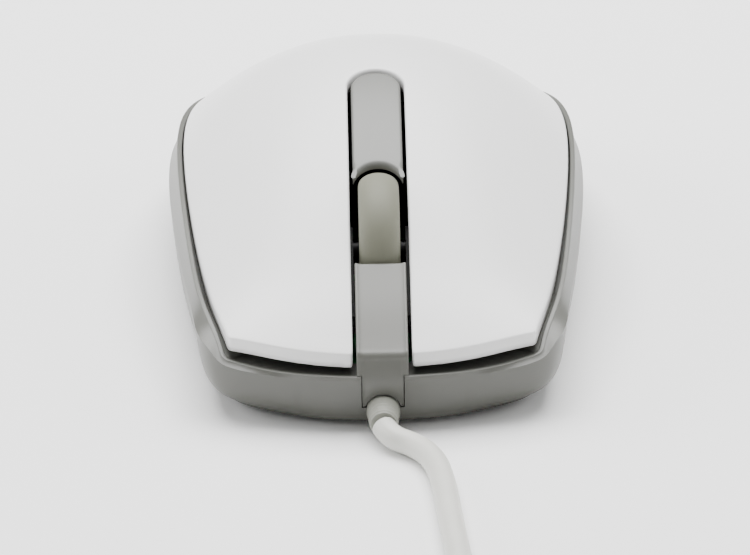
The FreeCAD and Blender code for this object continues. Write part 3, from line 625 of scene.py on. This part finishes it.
# ---- the white cover and its buttons --------------------------------------------------------
def cover_outline():
    """The white cover in plan, with its slot open at the front."""
    front = cover_front[cover_front[:, 0] > SLOT_HALF]
    front = np.vstack([[SLOT_HALF, np.interp(SLOT_HALF, cover_front[:, 0], cover_front[:, 1])], front])
    wall = np.column_stack([np.full(70, SLOT_HALF), np.linspace(SLOT_END - SLOT_HALF, front[0, 1], 70)])
    turn = np.linspace(math.pi, 0, 26)
    arch = np.column_stack([SLOT_HALF * np.cos(turn), SLOT_END - SLOT_HALF + SLOT_HALF * np.sin(turn)])
    inner = np.vstack([half_ring(wall), arch[1:-1], wall])
    return joined([front, cover_side, half_ring(front), inner], 0.32, 0.25)


def add_cover():
    """The cover as one moulding, parted at the flexing line into the palm and the two buttons."""
    outline = cover_outline()
    edge = 0.22 + 0.2 * np.clip((outline[:, 1] + 50) / 12, 0, 1)
    points, faces = moulding(outline, crown, edge, 2.0, spacing=1.15, steps=6)
    whole = piece("cover", points, faces, WHITE, None)
    form = bmesh.new()
    form.from_mesh(whole.data)
    everything = form.verts[:] + form.edges[:] + form.faces[:]
    bmesh.ops.bisect_plane(form, geom=everything, plane_co=(0, HINGE_Y * MM, 0), plane_no=(0, 1, 0),
                           dist=0.0000002)
    form.to_mesh(whole.data)
    form.free()
    mesh = whole.data
    spots = np.array([vertex.co for vertex in mesh.vertices])
    normals = np.array([vertex.vector for vertex in mesh.vertex_normals])
    polygons = [tuple(polygon.vertices) for polygon in mesh.polygons]
    middles = np.array([spots[list(polygon)].mean(axis=0) for polygon in polygons])
    behind = middles[:, 1] > HINGE_Y * MM
    parts = {"palm_shell": behind, "left_button_shell": ~behind & (middles[:, 0] < 0),
             "right_button_shell": ~behind & (middles[:, 0] >= 0)}
    made = {name: cover_part(name, spots, normals, polygons, chosen) for name, chosen in parts.items()}
    bpy.data.objects.remove(whole)
    return made


def cover_part(name, spots, normals, polygons, chosen):
    """One part of the cover, keeping the whole moulding's normals so that no seam shows."""
    faces = [polygons[index] for index in np.flatnonzero(chosen)]
    used = sorted({vertex for face in faces for vertex in face})
    place = {vertex: index for index, vertex in enumerate(used)}
    mesh = bpy.data.meshes.new(name)
    mesh.from_pydata([tuple(spots[vertex]) for vertex in used], [],
                     [[place[vertex] for vertex in face] for face in faces])
    kept = normals[used]
    form = bmesh.new()
    form.from_mesh(mesh)
    bmesh.ops.holes_fill(form, edges=[edge for edge in form.edges if edge.is_boundary], sides=0)
    form.to_mesh(mesh)
    form.free()
    for polygon in mesh.polygons:
        polygon.use_smooth = True
    mesh.materials.append(WHITE)
    mesh.normals_split_custom_set_from_vertices([tuple(normal) for normal in kept])
    made = bpy.data.objects.new(name, mesh)
    bpy.context.scene.collection.objects.link(made)
    return made


cover = add_cover()
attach(cover["palm_shell"], "housing")
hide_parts("palm_cover")
for side in ("left", "right"):
    shell = cover[side + "_button_shell"]
    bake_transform(shell)
    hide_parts(side + "_button")


# ---- the grey lower case --------------------------------------------------------------------
def matched(half, ring):
    """Points of a smooth outline at the bearings of another outline's points."""
    dense = ring_through(half, 1400)
    scale = np.array([30.0, 54.0])
    bearing = np.unwrap(np.arctan2(dense[:, 0] / scale[0], -dense[:, 1] / scale[1]))
    wanted = np.mod(np.arctan2(ring[:, 0] / scale[0], -ring[:, 1] / scale[1]) - bearing[0],
                    2 * math.pi) + bearing[0]
    wrapped = np.append(bearing, bearing[0] + 2 * math.pi)
    closed = np.vstack([dense, dense[:1]])
    return np.column_stack([np.interp(wanted, wrapped, closed[:, axis]) for axis in (0, 1)])


def add_case():
    """The case: a foot edge, the swelling side, a softly creased girth, the band above it and the rim."""
    plain = joined([np.vstack([half_ring(cover_front)[:-1], cover_front]), cover_side], 0.5, 0.4)
    outward = -normals_in(plain)
    opening = plain + outward * opening_gap(plain[:, 1]).reshape(-1, 1)
    rim = opening + outward * 0.72
    foot, girth = matched(CASE_FOOT, rim), matched(CASE_GIRTH, rim)
    top, belt = case_top(rim[:, 1]), girth_top(rim[:, 1])
    belt = np.minimum(belt, top - 0.45)
    turn = np.exp(-((rim[:, 1] + 46.5) / 6.0) ** 2) * (np.abs(rim[:, 0]) > 12)
    lean = (0.62 + 0.24 * turn)[:, None]
    stations = [(foot, np.full(len(rim), FOOT_LEVEL + 0.5)), (foot + (girth - foot) * lean, 0.45 * belt),
                (girth, belt), (girth * 0.42 + rim * 0.58, belt * 0.5 + top * 0.5), (rim, top)]
    table = np.array([np.column_stack([flat, level]) for flat, level in stations])
    count = len(rim)
    spans = [smooth_line(np.column_stack([np.arange(3),
                                          table[first: first + 3].reshape(3, -1)])) for first in (0, 2)]
    inward = normals_in(foot)
    levels = [np.column_stack([foot + inward * inset, np.full(count, FOOT_LEVEL + rise)])
              for inset, rise in ((0.9, 0.0), (0.42, 0.03), (0.14, 0.16))]
    levels += [spans[0](share).reshape(count, 3) for share in np.linspace(0, 2, 15)]
    levels += [spans[1](share).reshape(count, 3) for share in np.linspace(0, 2, 13)[1:]]
    rim_in = normals_in(rim)
    for inset, drop in ((0.06, -0.09), (0.2, -0.15)):
        levels.append(np.column_stack([rim + rim_in * inset, top - drop]))
    levels.append(np.column_stack([opening - rim_in * 0.15, top + 0.13]))
    levels.append(np.column_stack([opening, top - 0.03]))
    ledge = top - 0.12 - 2.48 * np.clip((opening[:, 1] + 50) / 18, 0, 1)
    shelf = opening + normals_in(opening) * 4.6
    levels.append(np.column_stack([opening, ledge]))
    levels.append(np.column_stack([shelf, ledge]))
    levels.append(np.column_stack([shelf, np.minimum(ledge - 1.2, 4.0)]))
    points = np.vstack(levels)
    caps = [tuple(range(count))[::-1], tuple(range(count * (len(levels) - 1), count * len(levels)))]
    case = piece("case_shell", points, ring_faces(0, count, len(levels)) + caps, GREY_CASE, "housing")
    notch = cutter("notch", slab(rounded_box(6.1, 6.0, 0.3, (0, -54.6)), 3.3, 12.0, 0.02))
    eye = cutter("eye", slab(rounded_box(9.0, 13.0, 1.2, (0, 8.0)), -1.0, 2.7, 0.3))
    seats = [cutter("front_seat", slab(rounded_box(22.0, 6.0, 2.6, (0, -44.2)), -1.0, 1.15, 0.05)),
             cutter("rear_seat", slab(circle(9.3, (0, 40.0)), -1.0, 0.95, 0.05)),
             cutter("screw_well", slab(circle(3.0, (0, 40.0)), -1.0, 1.9, 0.05)),
             cutter("label_seat", slab(rounded_box(27.0, 11.0, 1.0, (0, 24.5)), -1.0, 0.9, 0.02))]
    carve(case, notch, eye, *seats)
    sharpen(case, 32.0)
    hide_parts("lower_case")


add_case()


# ---- the grey strip behind the wheel --------------------------------------------------------
STRIP_HALF = 3.65
STRIP_FRONT = -21.0
STRIP_BOW = 3.3
STRIP_DROP = 0.38
STRIP_THICK = 0.95


def add_strip():
    """The strip let into the slot, hollowed in front round the wheel, with a rolled lip there."""
    end = SLOT_END - 0.3
    wall = np.column_stack([np.full(40, STRIP_HALF),
                            np.linspace(STRIP_FRONT - STRIP_BOW, end - STRIP_HALF, 40)])
    turn = np.linspace(0, math.pi, 30)
    arch = np.column_stack([STRIP_HALF * np.cos(turn), end - STRIP_HALF + STRIP_HALF * np.sin(turn)])
    radius = (STRIP_HALF ** 2 + STRIP_BOW ** 2) / (2 * STRIP_BOW)
    reach = math.atan2(STRIP_HALF, radius - STRIP_BOW)
    swing = np.linspace(-reach, reach, 34)
    bay = np.column_stack([radius * np.sin(swing), STRIP_FRONT - radius + radius * np.cos(swing)])
    sides = np.vstack([wall, arch[1:-1], half_ring(wall)])
    ring = joined([sides, bay], 0.75, 0.3)
    tips = np.clip((ring[:, 1] - STRIP_FRONT + STRIP_BOW) / 1.6, 0, 1)
    edge = 0.2 + np.where(ring[:, 1] < STRIP_FRONT + 0.2, 0.42, 0.2) * tips
    points, faces = moulding(ring, lambda spots: crown(spots, STRIP_DROP), edge, STRIP_THICK, spacing=0.7)
    strip = piece("centre_strip_skin", points, faces, GREY_STRIP, "housing")
    sharpen(strip, 40.0)
    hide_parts("centre_strip")


add_strip()


# ---- the bridge over the front --------------------------------------------------------------
BRIDGE_REAR = -39.4
BRIDGE_NOSE = -52.7
BRIDGE_HALF = 3.66
TAB_HALF = 2.93
TAB_TOP = 8.45
EDGE_ROLL = 0.22


def add_bridge():
    """The bridge: dished between two raised edges, over the nose, and narrower down the front wall."""
    top_y = np.linspace(BRIDGE_REAR, BRIDGE_NOSE, 40)
    top = np.column_stack([top_y, crown(np.column_stack([0 * top_y, top_y])) + 0.22])
    nose = through([top[-1], (-53.2, 11.5), (-53.5, 11.15), (-53.64, 10.6)], 0.12)
    wall = through([nose[-1], (-54.22, TAB_TOP), (-54.42, 7.0), (-54.2, 5.2), (-53.7, 3.5)], 0.3)
    step = int(np.argmin(np.abs(wall[:, 1] - TAB_TOP)))
    face, tab = wall[: step + 1], wall[step:]
    path = np.vstack([top, nose[1:], face[1:], tab])
    along = np.gradient(path, axis=0)
    along[len(path) - len(tab)] = along[len(path) - len(tab) - 1] = tab[1] - face[-2]
    along /= np.linalg.norm(along, axis=1)[:, None]
    outward = np.column_stack([along[:, 1], -along[:, 0]])
    half, narrow, roll = BRIDGE_HALF, TAB_HALF, EDGE_ROLL
    across = np.linspace(-1, 1, 41)
    section = [(x * (half - roll), 0.24 * max(0.0, (abs(x) - 0.70) / 0.30) ** 2 - 0.05) for x in across]
    corner = [(half - roll + roll * math.sin(a), 0.19 - roll * (1 - math.cos(a)))
              for a in np.linspace(0, math.pi / 2, 5)[1:]]
    section += corner + [(half, -1.5), (-half, -1.5)] + [(-x, rise) for x, rise in reversed(corner)]
    stations = [(0, 0.3, 0.0), (0, 0.08, 0.06)] + [(index, 0, 0.2) for index in range(len(path))]
    stations += [(len(path) - 1, 0.06, 0.27), (len(path) - 1, 0.3, 0.32)]
    loops = []
    for index, sink, shift in stations:
        on_tab = index >= len(path) - len(tab)
        reach = narrow if on_tab else half
        calm = float(np.interp(-path[index][0], (53.2, 54.0), (1.0, 0.2)))
        for x, rise in section:
            lift = rise if rise < 0 else rise * calm
            spot = path[index] + outward[index] * (lift - sink) + along[index] * (shift - 0.2 + 0.02 * on_tab)
            loops.append((min(max(x, -reach), reach), spot[0], spot[1]))
    count = len(section)
    caps = [tuple(range(count))[::-1], tuple(range(len(loops) - count, len(loops)))]
    bridge = piece("nose_bridge_skin", loops, ring_faces(0, count, len(stations)) + caps, BRIDGE, "housing")
    hollow = cutter("cord_way",
                    turned([(-1, 0), (-1, 2.5), (4, 2.5), (4, 0)], 40, (0, -56.5, 3.0), (0, 1, 0)))
    carve(bridge, hollow)
    sharpen(bridge, 42.0)
    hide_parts("nose_bridge")


add_bridge()


# ---- the scroll wheel -----------------------------------------------------------------------
WHEEL_CENTRE = (0.0, -28.0, 16.6)
TYRE_RADIUS = 11.0
TYRE_HALF = 2.95


def add_tyre():
    """The rubber tyre: a fully rounded crown between flat cheeks."""
    crown_turn = np.linspace(-math.pi / 2, math.pi / 2, 33)
    rise = 2.35
    outer = [(TYRE_HALF * math.sin(a), TYRE_RADIUS - rise + rise * math.cos(a) ** 0.82) for a in crown_turn]
    inner = [(TYRE_HALF - 0.15, 8.64), (-TYRE_HALF + 0.15, 8.64)]
    profile = outer + inner + outer[:1]
    tyre = piece("tyre_skin", *turned(profile, 144, WHEEL_CENTRE, (1, 0, 0)), TYRE, "scroll_wheel")
    sharpen(tyre, 50.0)
    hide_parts("wheel_tyre")


add_tyre()


# ---- the strain relief ----------------------------------------------------------------------
def rib_tree():
    """A node tree that sets tapering rings at an even pitch along Y, for the ribs of a sleeve."""
    tree = bpy.data.node_groups.new("sleeve_ribs", "GeometryNodeTree")
    kinds = {"Ribs": "Int", "Pitch": "Float", "Ring Radius": "Float", "Rib Radius": "Float", "Taper": "Float",
             "First": "Vector", "Paint": "Material"}
    tree.interface.new_socket("Ribs Out", in_out="OUTPUT", socket_type="NodeSocketGeometry")
    for name, kind in kinds.items():
        tree.interface.new_socket(name, in_out="INPUT", socket_type="NodeSocket" + kind)

    def node(kind, settings=None, **inputs):
        made = tree.nodes.new(kind)
        for key, value in (settings or {}).items():
            setattr(made, key, value)
        for key, value in inputs.items():
            socket = made.inputs[key.replace("_",
                                             " ")] if not key.startswith("n") else made.inputs[int(key[1:])]
            if isinstance(value, bpy.types.NodeSocket):
                tree.links.new(value, socket)
            else:
                socket.default_value = value
        return made

    given = tree.nodes.new("NodeGroupInput").outputs
    offset = node("ShaderNodeCombineXYZ", Y=given["Pitch"]).outputs[0]
    line = node("GeometryNodeMeshLine", Count=given["Ribs"], Start_Location=given["First"], Offset=offset)
    ring = node("GeometryNodeCurvePrimitiveCircle", Resolution=56, Radius=given["Ring Radius"])
    bead = node("GeometryNodeCurvePrimitiveCircle", Resolution=14, Radius=given["Rib Radius"])
    torus = node("GeometryNodeCurveToMesh", Curve=ring.outputs[0], Profile_Curve=bead.outputs[0])
    index = node("GeometryNodeInputIndex").outputs[0]
    fall = node("ShaderNodeMath", {"operation": "MULTIPLY"}, n0=index, n1=given["Taper"]).outputs[0]
    share = node("ShaderNodeMath", {"operation": "SUBTRACT"}, n0=1.0, n1=fall).outputs[0]
    scale = node("ShaderNodeCombineXYZ", X=share, Y=share, Z=share).outputs[0]
    rows = node("GeometryNodeInstanceOnPoints", Points=line.outputs[0], Instance=torus.outputs[0],
                Rotation=(math.pi / 2, 0, 0), Scale=scale)
    whole = node("GeometryNodeRealizeInstances", Geometry=rows.outputs[0])
    painted = node("GeometryNodeSetMaterial", Geometry=whole.outputs[0], Material=given["Paint"])
    tree.links.new(painted.outputs[0], tree.nodes.new("NodeGroupOutput").inputs[0])
    return tree


RIB_TREE = rib_tree()


def add_ribs(name, paint, **sizes):
    """A row of ribs made by the node tree and turned into a plain mesh."""
    holder = bpy.data.objects.new(name, bpy.data.meshes.new(name))
    bpy.context.scene.collection.objects.link(holder)
    grower = holder.modifiers.new("ribs", "NODES")
    grower.node_group = RIB_TREE
    named = {item.name: item.identifier for item in RIB_TREE.interface.items_tree if item.in_out == "INPUT"}
    for key, value in sizes.items():
        grower[named[key.replace("_", " ")]] = value
    grower[named["Paint"]] = paint
    bpy.context.view_layer.update()
    grown = bpy.data.meshes.new_from_object(holder.evaluated_get(bpy.context.evaluated_depsgraph_get()))
    holder.modifiers.clear()
    form = bmesh.new()
    form.from_mesh(grown)
    bmesh.ops.recalc_face_normals(form, faces=form.faces[:])
    for face in form.faces:
        face.smooth = True
    form.to_mesh(grown)
    form.free()
    holder.data = grown
    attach(holder, "housing")
    return holder


def add_relief():
    """The sleeve round the cord: a plain collar and then a soft taper that carries shallow ribs."""
    profile = [(0, 0), (0, 1.9), (0.2, 2.05), (3.1, 2.08), (3.9, 2.36), (5.2, 2.38), (5.6, 2.34), (6.4, 2.16),
               (7.6, 2.06), (8.6, 1.98),
               (8.98, 1.8), (8.98, 0)]
    sleeve = piece("relief_sleeve", *turned(profile, 56, (0, -49.62, 3.0), (0, -1, 0)), RELIEF_SKIN_PAINTED_SHADE,
                   "housing")
    sharpen(sleeve, 50.0)
    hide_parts("strain_relief")
    ribs = add_ribs("relief_ribs", RELIEF_SKIN_PAINTED_SHADE, Ribs=3, Pitch=-1.0 * MM, Ring_Radius=1.84 * MM,
                    Rib_Radius=0.38 * MM,
                    Taper=0.035, First=(0, -56.1 * MM, 3.0 * MM))
    return [sleeve, ribs]


relief = add_relief()


# ---- the plug and the tie -------------------------------------------------------------------
PLUG_X = 10.6
PLUG_END = -218.0
PLUG_LEVEL = 4.0


def add_plug():
    """The plug: a waisted grip with finger ribs, its relief, and the metal shell with two windows."""
    outline = [np.array([(PLUG_X - 7.7, PLUG_END + 12.05), (PLUG_X + 7.7, PLUG_END + 12.05)]),
               through([(PLUG_X + 7.7, PLUG_END + 12.05), (PLUG_X + 7.6, PLUG_END + 18),
                        (PLUG_X + 7.0, PLUG_END + 23),
                        (PLUG_X + 4.6, PLUG_END + 27.6)], 0.5),
               np.array([(PLUG_X + 4.6, PLUG_END + 27.6), (PLUG_X - 4.6, PLUG_END + 27.6)]),
               through([(PLUG_X - 4.6, PLUG_END + 27.6), (PLUG_X - 7.0, PLUG_END + 23),
                        (PLUG_X - 7.6, PLUG_END + 18),
                        (PLUG_X - 7.7, PLUG_END + 12.05)], 0.5)]
    dense = [through(part, 0.5) if len(part) == 2 else part for part in outline]
    grip = piece("plug_grip_skin", *slab(joined(dense, 1.3, 0.4), 0.05, 7.95, 1.1, steps=6), PLUG_PLASTIC,
                 "housing")
    ribs = [cutter(f"groove_{row}_{side}",
                   slab(rounded_box(9.0, 0.9, 0.4, (PLUG_X, PLUG_END + 16.5 + 1.9 * row)),
                                             7.55 if side else -0.6, 8.6 if side else 0.45, 0.1))
            for row in range(4) for side in (0, 1)]
    carve(grip, *ribs)
    sharpen(grip, 40.0)
    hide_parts("plug_grip")
    taper = [(0, 0), (0, 2.6), (0.5, 2.62), (4.0, 2.2), (7.6, 1.85), (7.8, 1.7), (7.8, 0)]
    sleeve = piece("plug_relief_skin", *turned(taper, 48, (PLUG_X, PLUG_END + 27.9, PLUG_LEVEL), (0, 1, 0)),
                   PLUG_PLASTIC, "housing")
    sharpen(sleeve, 50.0)
    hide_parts("plug_relief")
    ribs = add_ribs("plug_relief_ribs", PLUG_PLASTIC, Ribs=5, Pitch=1.35 * MM, Ring_Radius=2.42 * MM,
                    Rib_Radius=0.42 * MM, Taper=0.062,
                    First=(PLUG_X * MM, (PLUG_END + 28.9) * MM, PLUG_LEVEL * MM))
    steel_points, faces = slab(rounded_box(11.98, 4.48, 0.5), 0.0, 12.0, 0.12)
    placed = np.column_stack([steel_points[:, 0] + PLUG_X, PLUG_END + steel_points[:, 2],
                              steel_points[:, 1] + PLUG_LEVEL])
    steel = piece("plug_shell_skin", placed, faces, STEEL, "housing")
    bore_points, bore_faces = slab(rounded_box(11.3, 3.8, 0.3), -1.0, 11.5, 0.02)
    bore = np.column_stack([bore_points[:, 0] + PLUG_X, PLUG_END + bore_points[:, 2],
                            bore_points[:, 1] + PLUG_LEVEL])
    windows = [cutter(f"window_{index}", slab(rounded_box(2.4, 2.0, 0.15, (PLUG_X + side, PLUG_END + 6.2)),
                                              PLUG_LEVEL + 1.0, PLUG_LEVEL + 3.0, 0.02))
               for index, side in enumerate((-2.9, 2.9))]
    carve(steel, cutter("bore", (bore, bore_faces)), *windows)
    sharpen(steel, 35.0)
    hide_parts("plug_shell")
    return [grip, sleeve, ribs, steel]


TIE_LEVEL = 6.68
TIE_SIDE = 19.25    # from the coil's centre to the middle of the band


def add_tie():
    """The hook and loop band round the coil."""
    middle = COIL_CENTRE[0] - TIE_SIDE
    section = rounded_box(15.6, 13.3, 3.0)
    inner = rounded_box(14.2, 12.6, 2.4)
    rings = []
    for along, ring in ((-3.6, inner), (-3.9, (inner + section) / 2), (-3.6, section), (3.6, section),
                        (3.9, (inner + section) / 2), (3.6, inner)):
        rings.append(np.column_stack([ring[:, 0] + middle, np.full(len(ring), COIL_CENTRE[1] + along),
                                      ring[:, 1] + TIE_LEVEL]))
    count = len(section)
    points = np.vstack(rings + rings[:1])
    tie = piece("cord_tie_skin", points, ring_faces(0, count, len(rings) + 1), BAND, "housing")
    sharpen(tie, 60.0)
    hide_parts("cord_tie")
    return tie


plug_pieces = add_plug() + [add_tie()]
for name, paint in (("plug_tongue", CHIP_BLACK), ("plug_contacts", GOLD)):
    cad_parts[name].material_slots[0].material = paint
    plug_pieces.append(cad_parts[name])


# ---- what shows under the mouse -------------------------------------------------------------
# The rear foot is a ring, and the case screw goes up through it.
REAR_FOOT_SPOT = (0, 40.0)


def add_underside():
    """The low-friction pads, the screw and the blank label."""
    ring = circle(9.0, REAR_FOOT_SPOT, 64)
    hole = cutter("rear_hole", slab(circle(3.4, REAR_FOOT_SPOT, 48), -1.0, 2.0, 0.05))
    pad = piece("front_foot_skin", *slab(rounded_box(21.4, 5.5, 2.4, (0, -44.2)), 0.0, 1.1, 0.3, steps=5),
                PAD, "housing")
    sharpen(pad, 45.0)
    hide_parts("front_foot")
    rear = piece("rear_foot_skin", *slab(ring, 0.0, 0.79, 0.28, steps=5), PAD, "housing")
    carve(rear, hole)
    sharpen(rear, 45.0)
    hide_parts("rear_foot")
    head = [(0, 0), (0.06, 0.9), (0.18, 1.8), (0.45, 2.3), (1.2, 2.4), (1.2, 1.05), (12.0, 1.0), (12.6, 0)]
    screw = piece("case_screw_skin", *turned(head, 48, (*REAR_FOOT_SPOT, 0.6), (0, 0, 1)), STEEL, "housing")
    slots = [cutter(f"cross_{index}", slab(rounded_box(wide, long, 0.1, REAR_FOOT_SPOT), 0.0, 1.35, 0.04))
             for index, (wide, long) in enumerate(((2.8, 0.6), (0.6, 2.8)))]
    carve(screw, *slots)
    sharpen(screw, 40.0)
    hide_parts("case_screw")
    label = piece("base_label_skin", *slab(rounded_box(26.0, 10.0, 0.8, (0, 24.5)), 0.67, 0.8, 0.03), LABEL,
                  "housing")
    sharpen(label, 45.0)
    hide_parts("base_label")


add_underside()

# ---- the pieces inside keep their CAD shape -------------------------------------------------
# The wheel's hub and carrier and the encoder parts take the near-black painted shade; the others keep their own
# colours.
INSIDE = {
    "wheel_hub": PAINTED_SHADE_BLACK, "wheel_carrier": PAINTED_SHADE_BLACK, "circuit_board": BOARD, "left_switch": CHIP_BLACK,
    "right_switch": CHIP_BLACK, "middle_switch": CHIP_BLACK, "left_plunger": SIGNAL_RED,
    "right_plunger": SIGNAL_RED, "middle_plunger": SIGNAL_RED, "encoder_emitter": PAINTED_SHADE_BLACK,
    "encoder_receiver": PAINTED_SHADE_BLACK, "sensor_chip": CHIP_BLACK, "control_chip": CHIP_BLACK,
    "resonator": STEEL,
    "led_clip": CHIP_BLACK, "illumination_led": RED_LENS, "lens_plate": CLEAR, "capacitor": CHIP_BLACK,
    "small_resistors": CHIP_BLACK, "cable_header": NYLON, "cable_connector": NYLON, "lead_wires": WIRE_SKIN,
}
for name, paint in INSIDE.items():
    for material_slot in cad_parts[name].material_slots:
        material_slot.material = paint
for name in ("plug_tongue", "plug_contacts"):
    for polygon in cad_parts[name].data.polygons:
        polygon.use_smooth = False


# ---- the floor and the light ----------------------------------------------------------------
FLOOR_HALF = 3000.0
FLOOR_LEVEL = -0.05
WORLD_STRENGTH = 0.44
# Name, place, the point it faces, width, length and power of each lamp.
LAMPS = (
    ("top_box", (0.0, 0.30, 0.85), (0, 0.0, 0.0), 1.0, 0.8, 25.5),
    ("left_box", (-0.8, 0.15, 0.35), (0, 0, 0.01), 0.5, 0.5, 4.8),
    ("right_box", (0.8, 0.15, 0.4), (0, 0, 0.01), 0.5, 0.5, 3.0),
)


def add_floor():
    """A wide, flat, pale floor, just under the feet."""
    floor_paint = Paint("floor", Roughness=0.9)
    floor_paint.feed("Base Color",
                     floor_paint.mixed(floor_paint.noise(2.0), (0.955, 0.955, 0.955), (0.965, 0.965, 0.965)))
    corners = [(across * FLOOR_HALF, along * FLOOR_HALF, FLOOR_LEVEL)
               for across, along in ((-1, -1), (1, -1), (1, 1), (-1, 1))]
    floor = piece("floor", corners, [(0, 1, 2, 3)], floor_paint.material, None, smooth=False)


def add_light(name, spot, aim, wide, long, power):
    """A soft rectangular light that faces a point."""
    lamp = bpy.data.lights.new(name, "AREA")
    lamp.shape = "RECTANGLE"
    lamp.size, lamp.size_y, lamp.energy = wide, long, power
    holder = bpy.data.objects.new(name, lamp)
    bpy.context.scene.collection.objects.link(holder)
    away = Vector(spot) - Vector(aim)
    holder.matrix_world = Matrix.Translation(spot) @ away.to_track_quat("Z", "Y").to_matrix().to_4x4()


def add_world():
    """A pale, even surround."""
    world = bpy.data.worlds.new("surround")
    world.use_nodes = True
    world.node_tree.nodes["Background"].inputs["Color"].default_value = (1.0, 1.0, 1.0, 1.0)
    world.node_tree.nodes["Background"].inputs["Strength"].default_value = WORLD_STRENGTH
    bpy.context.scene.world = world


add_floor()
add_world()
for lamp in LAMPS:
    add_light(*lamp)
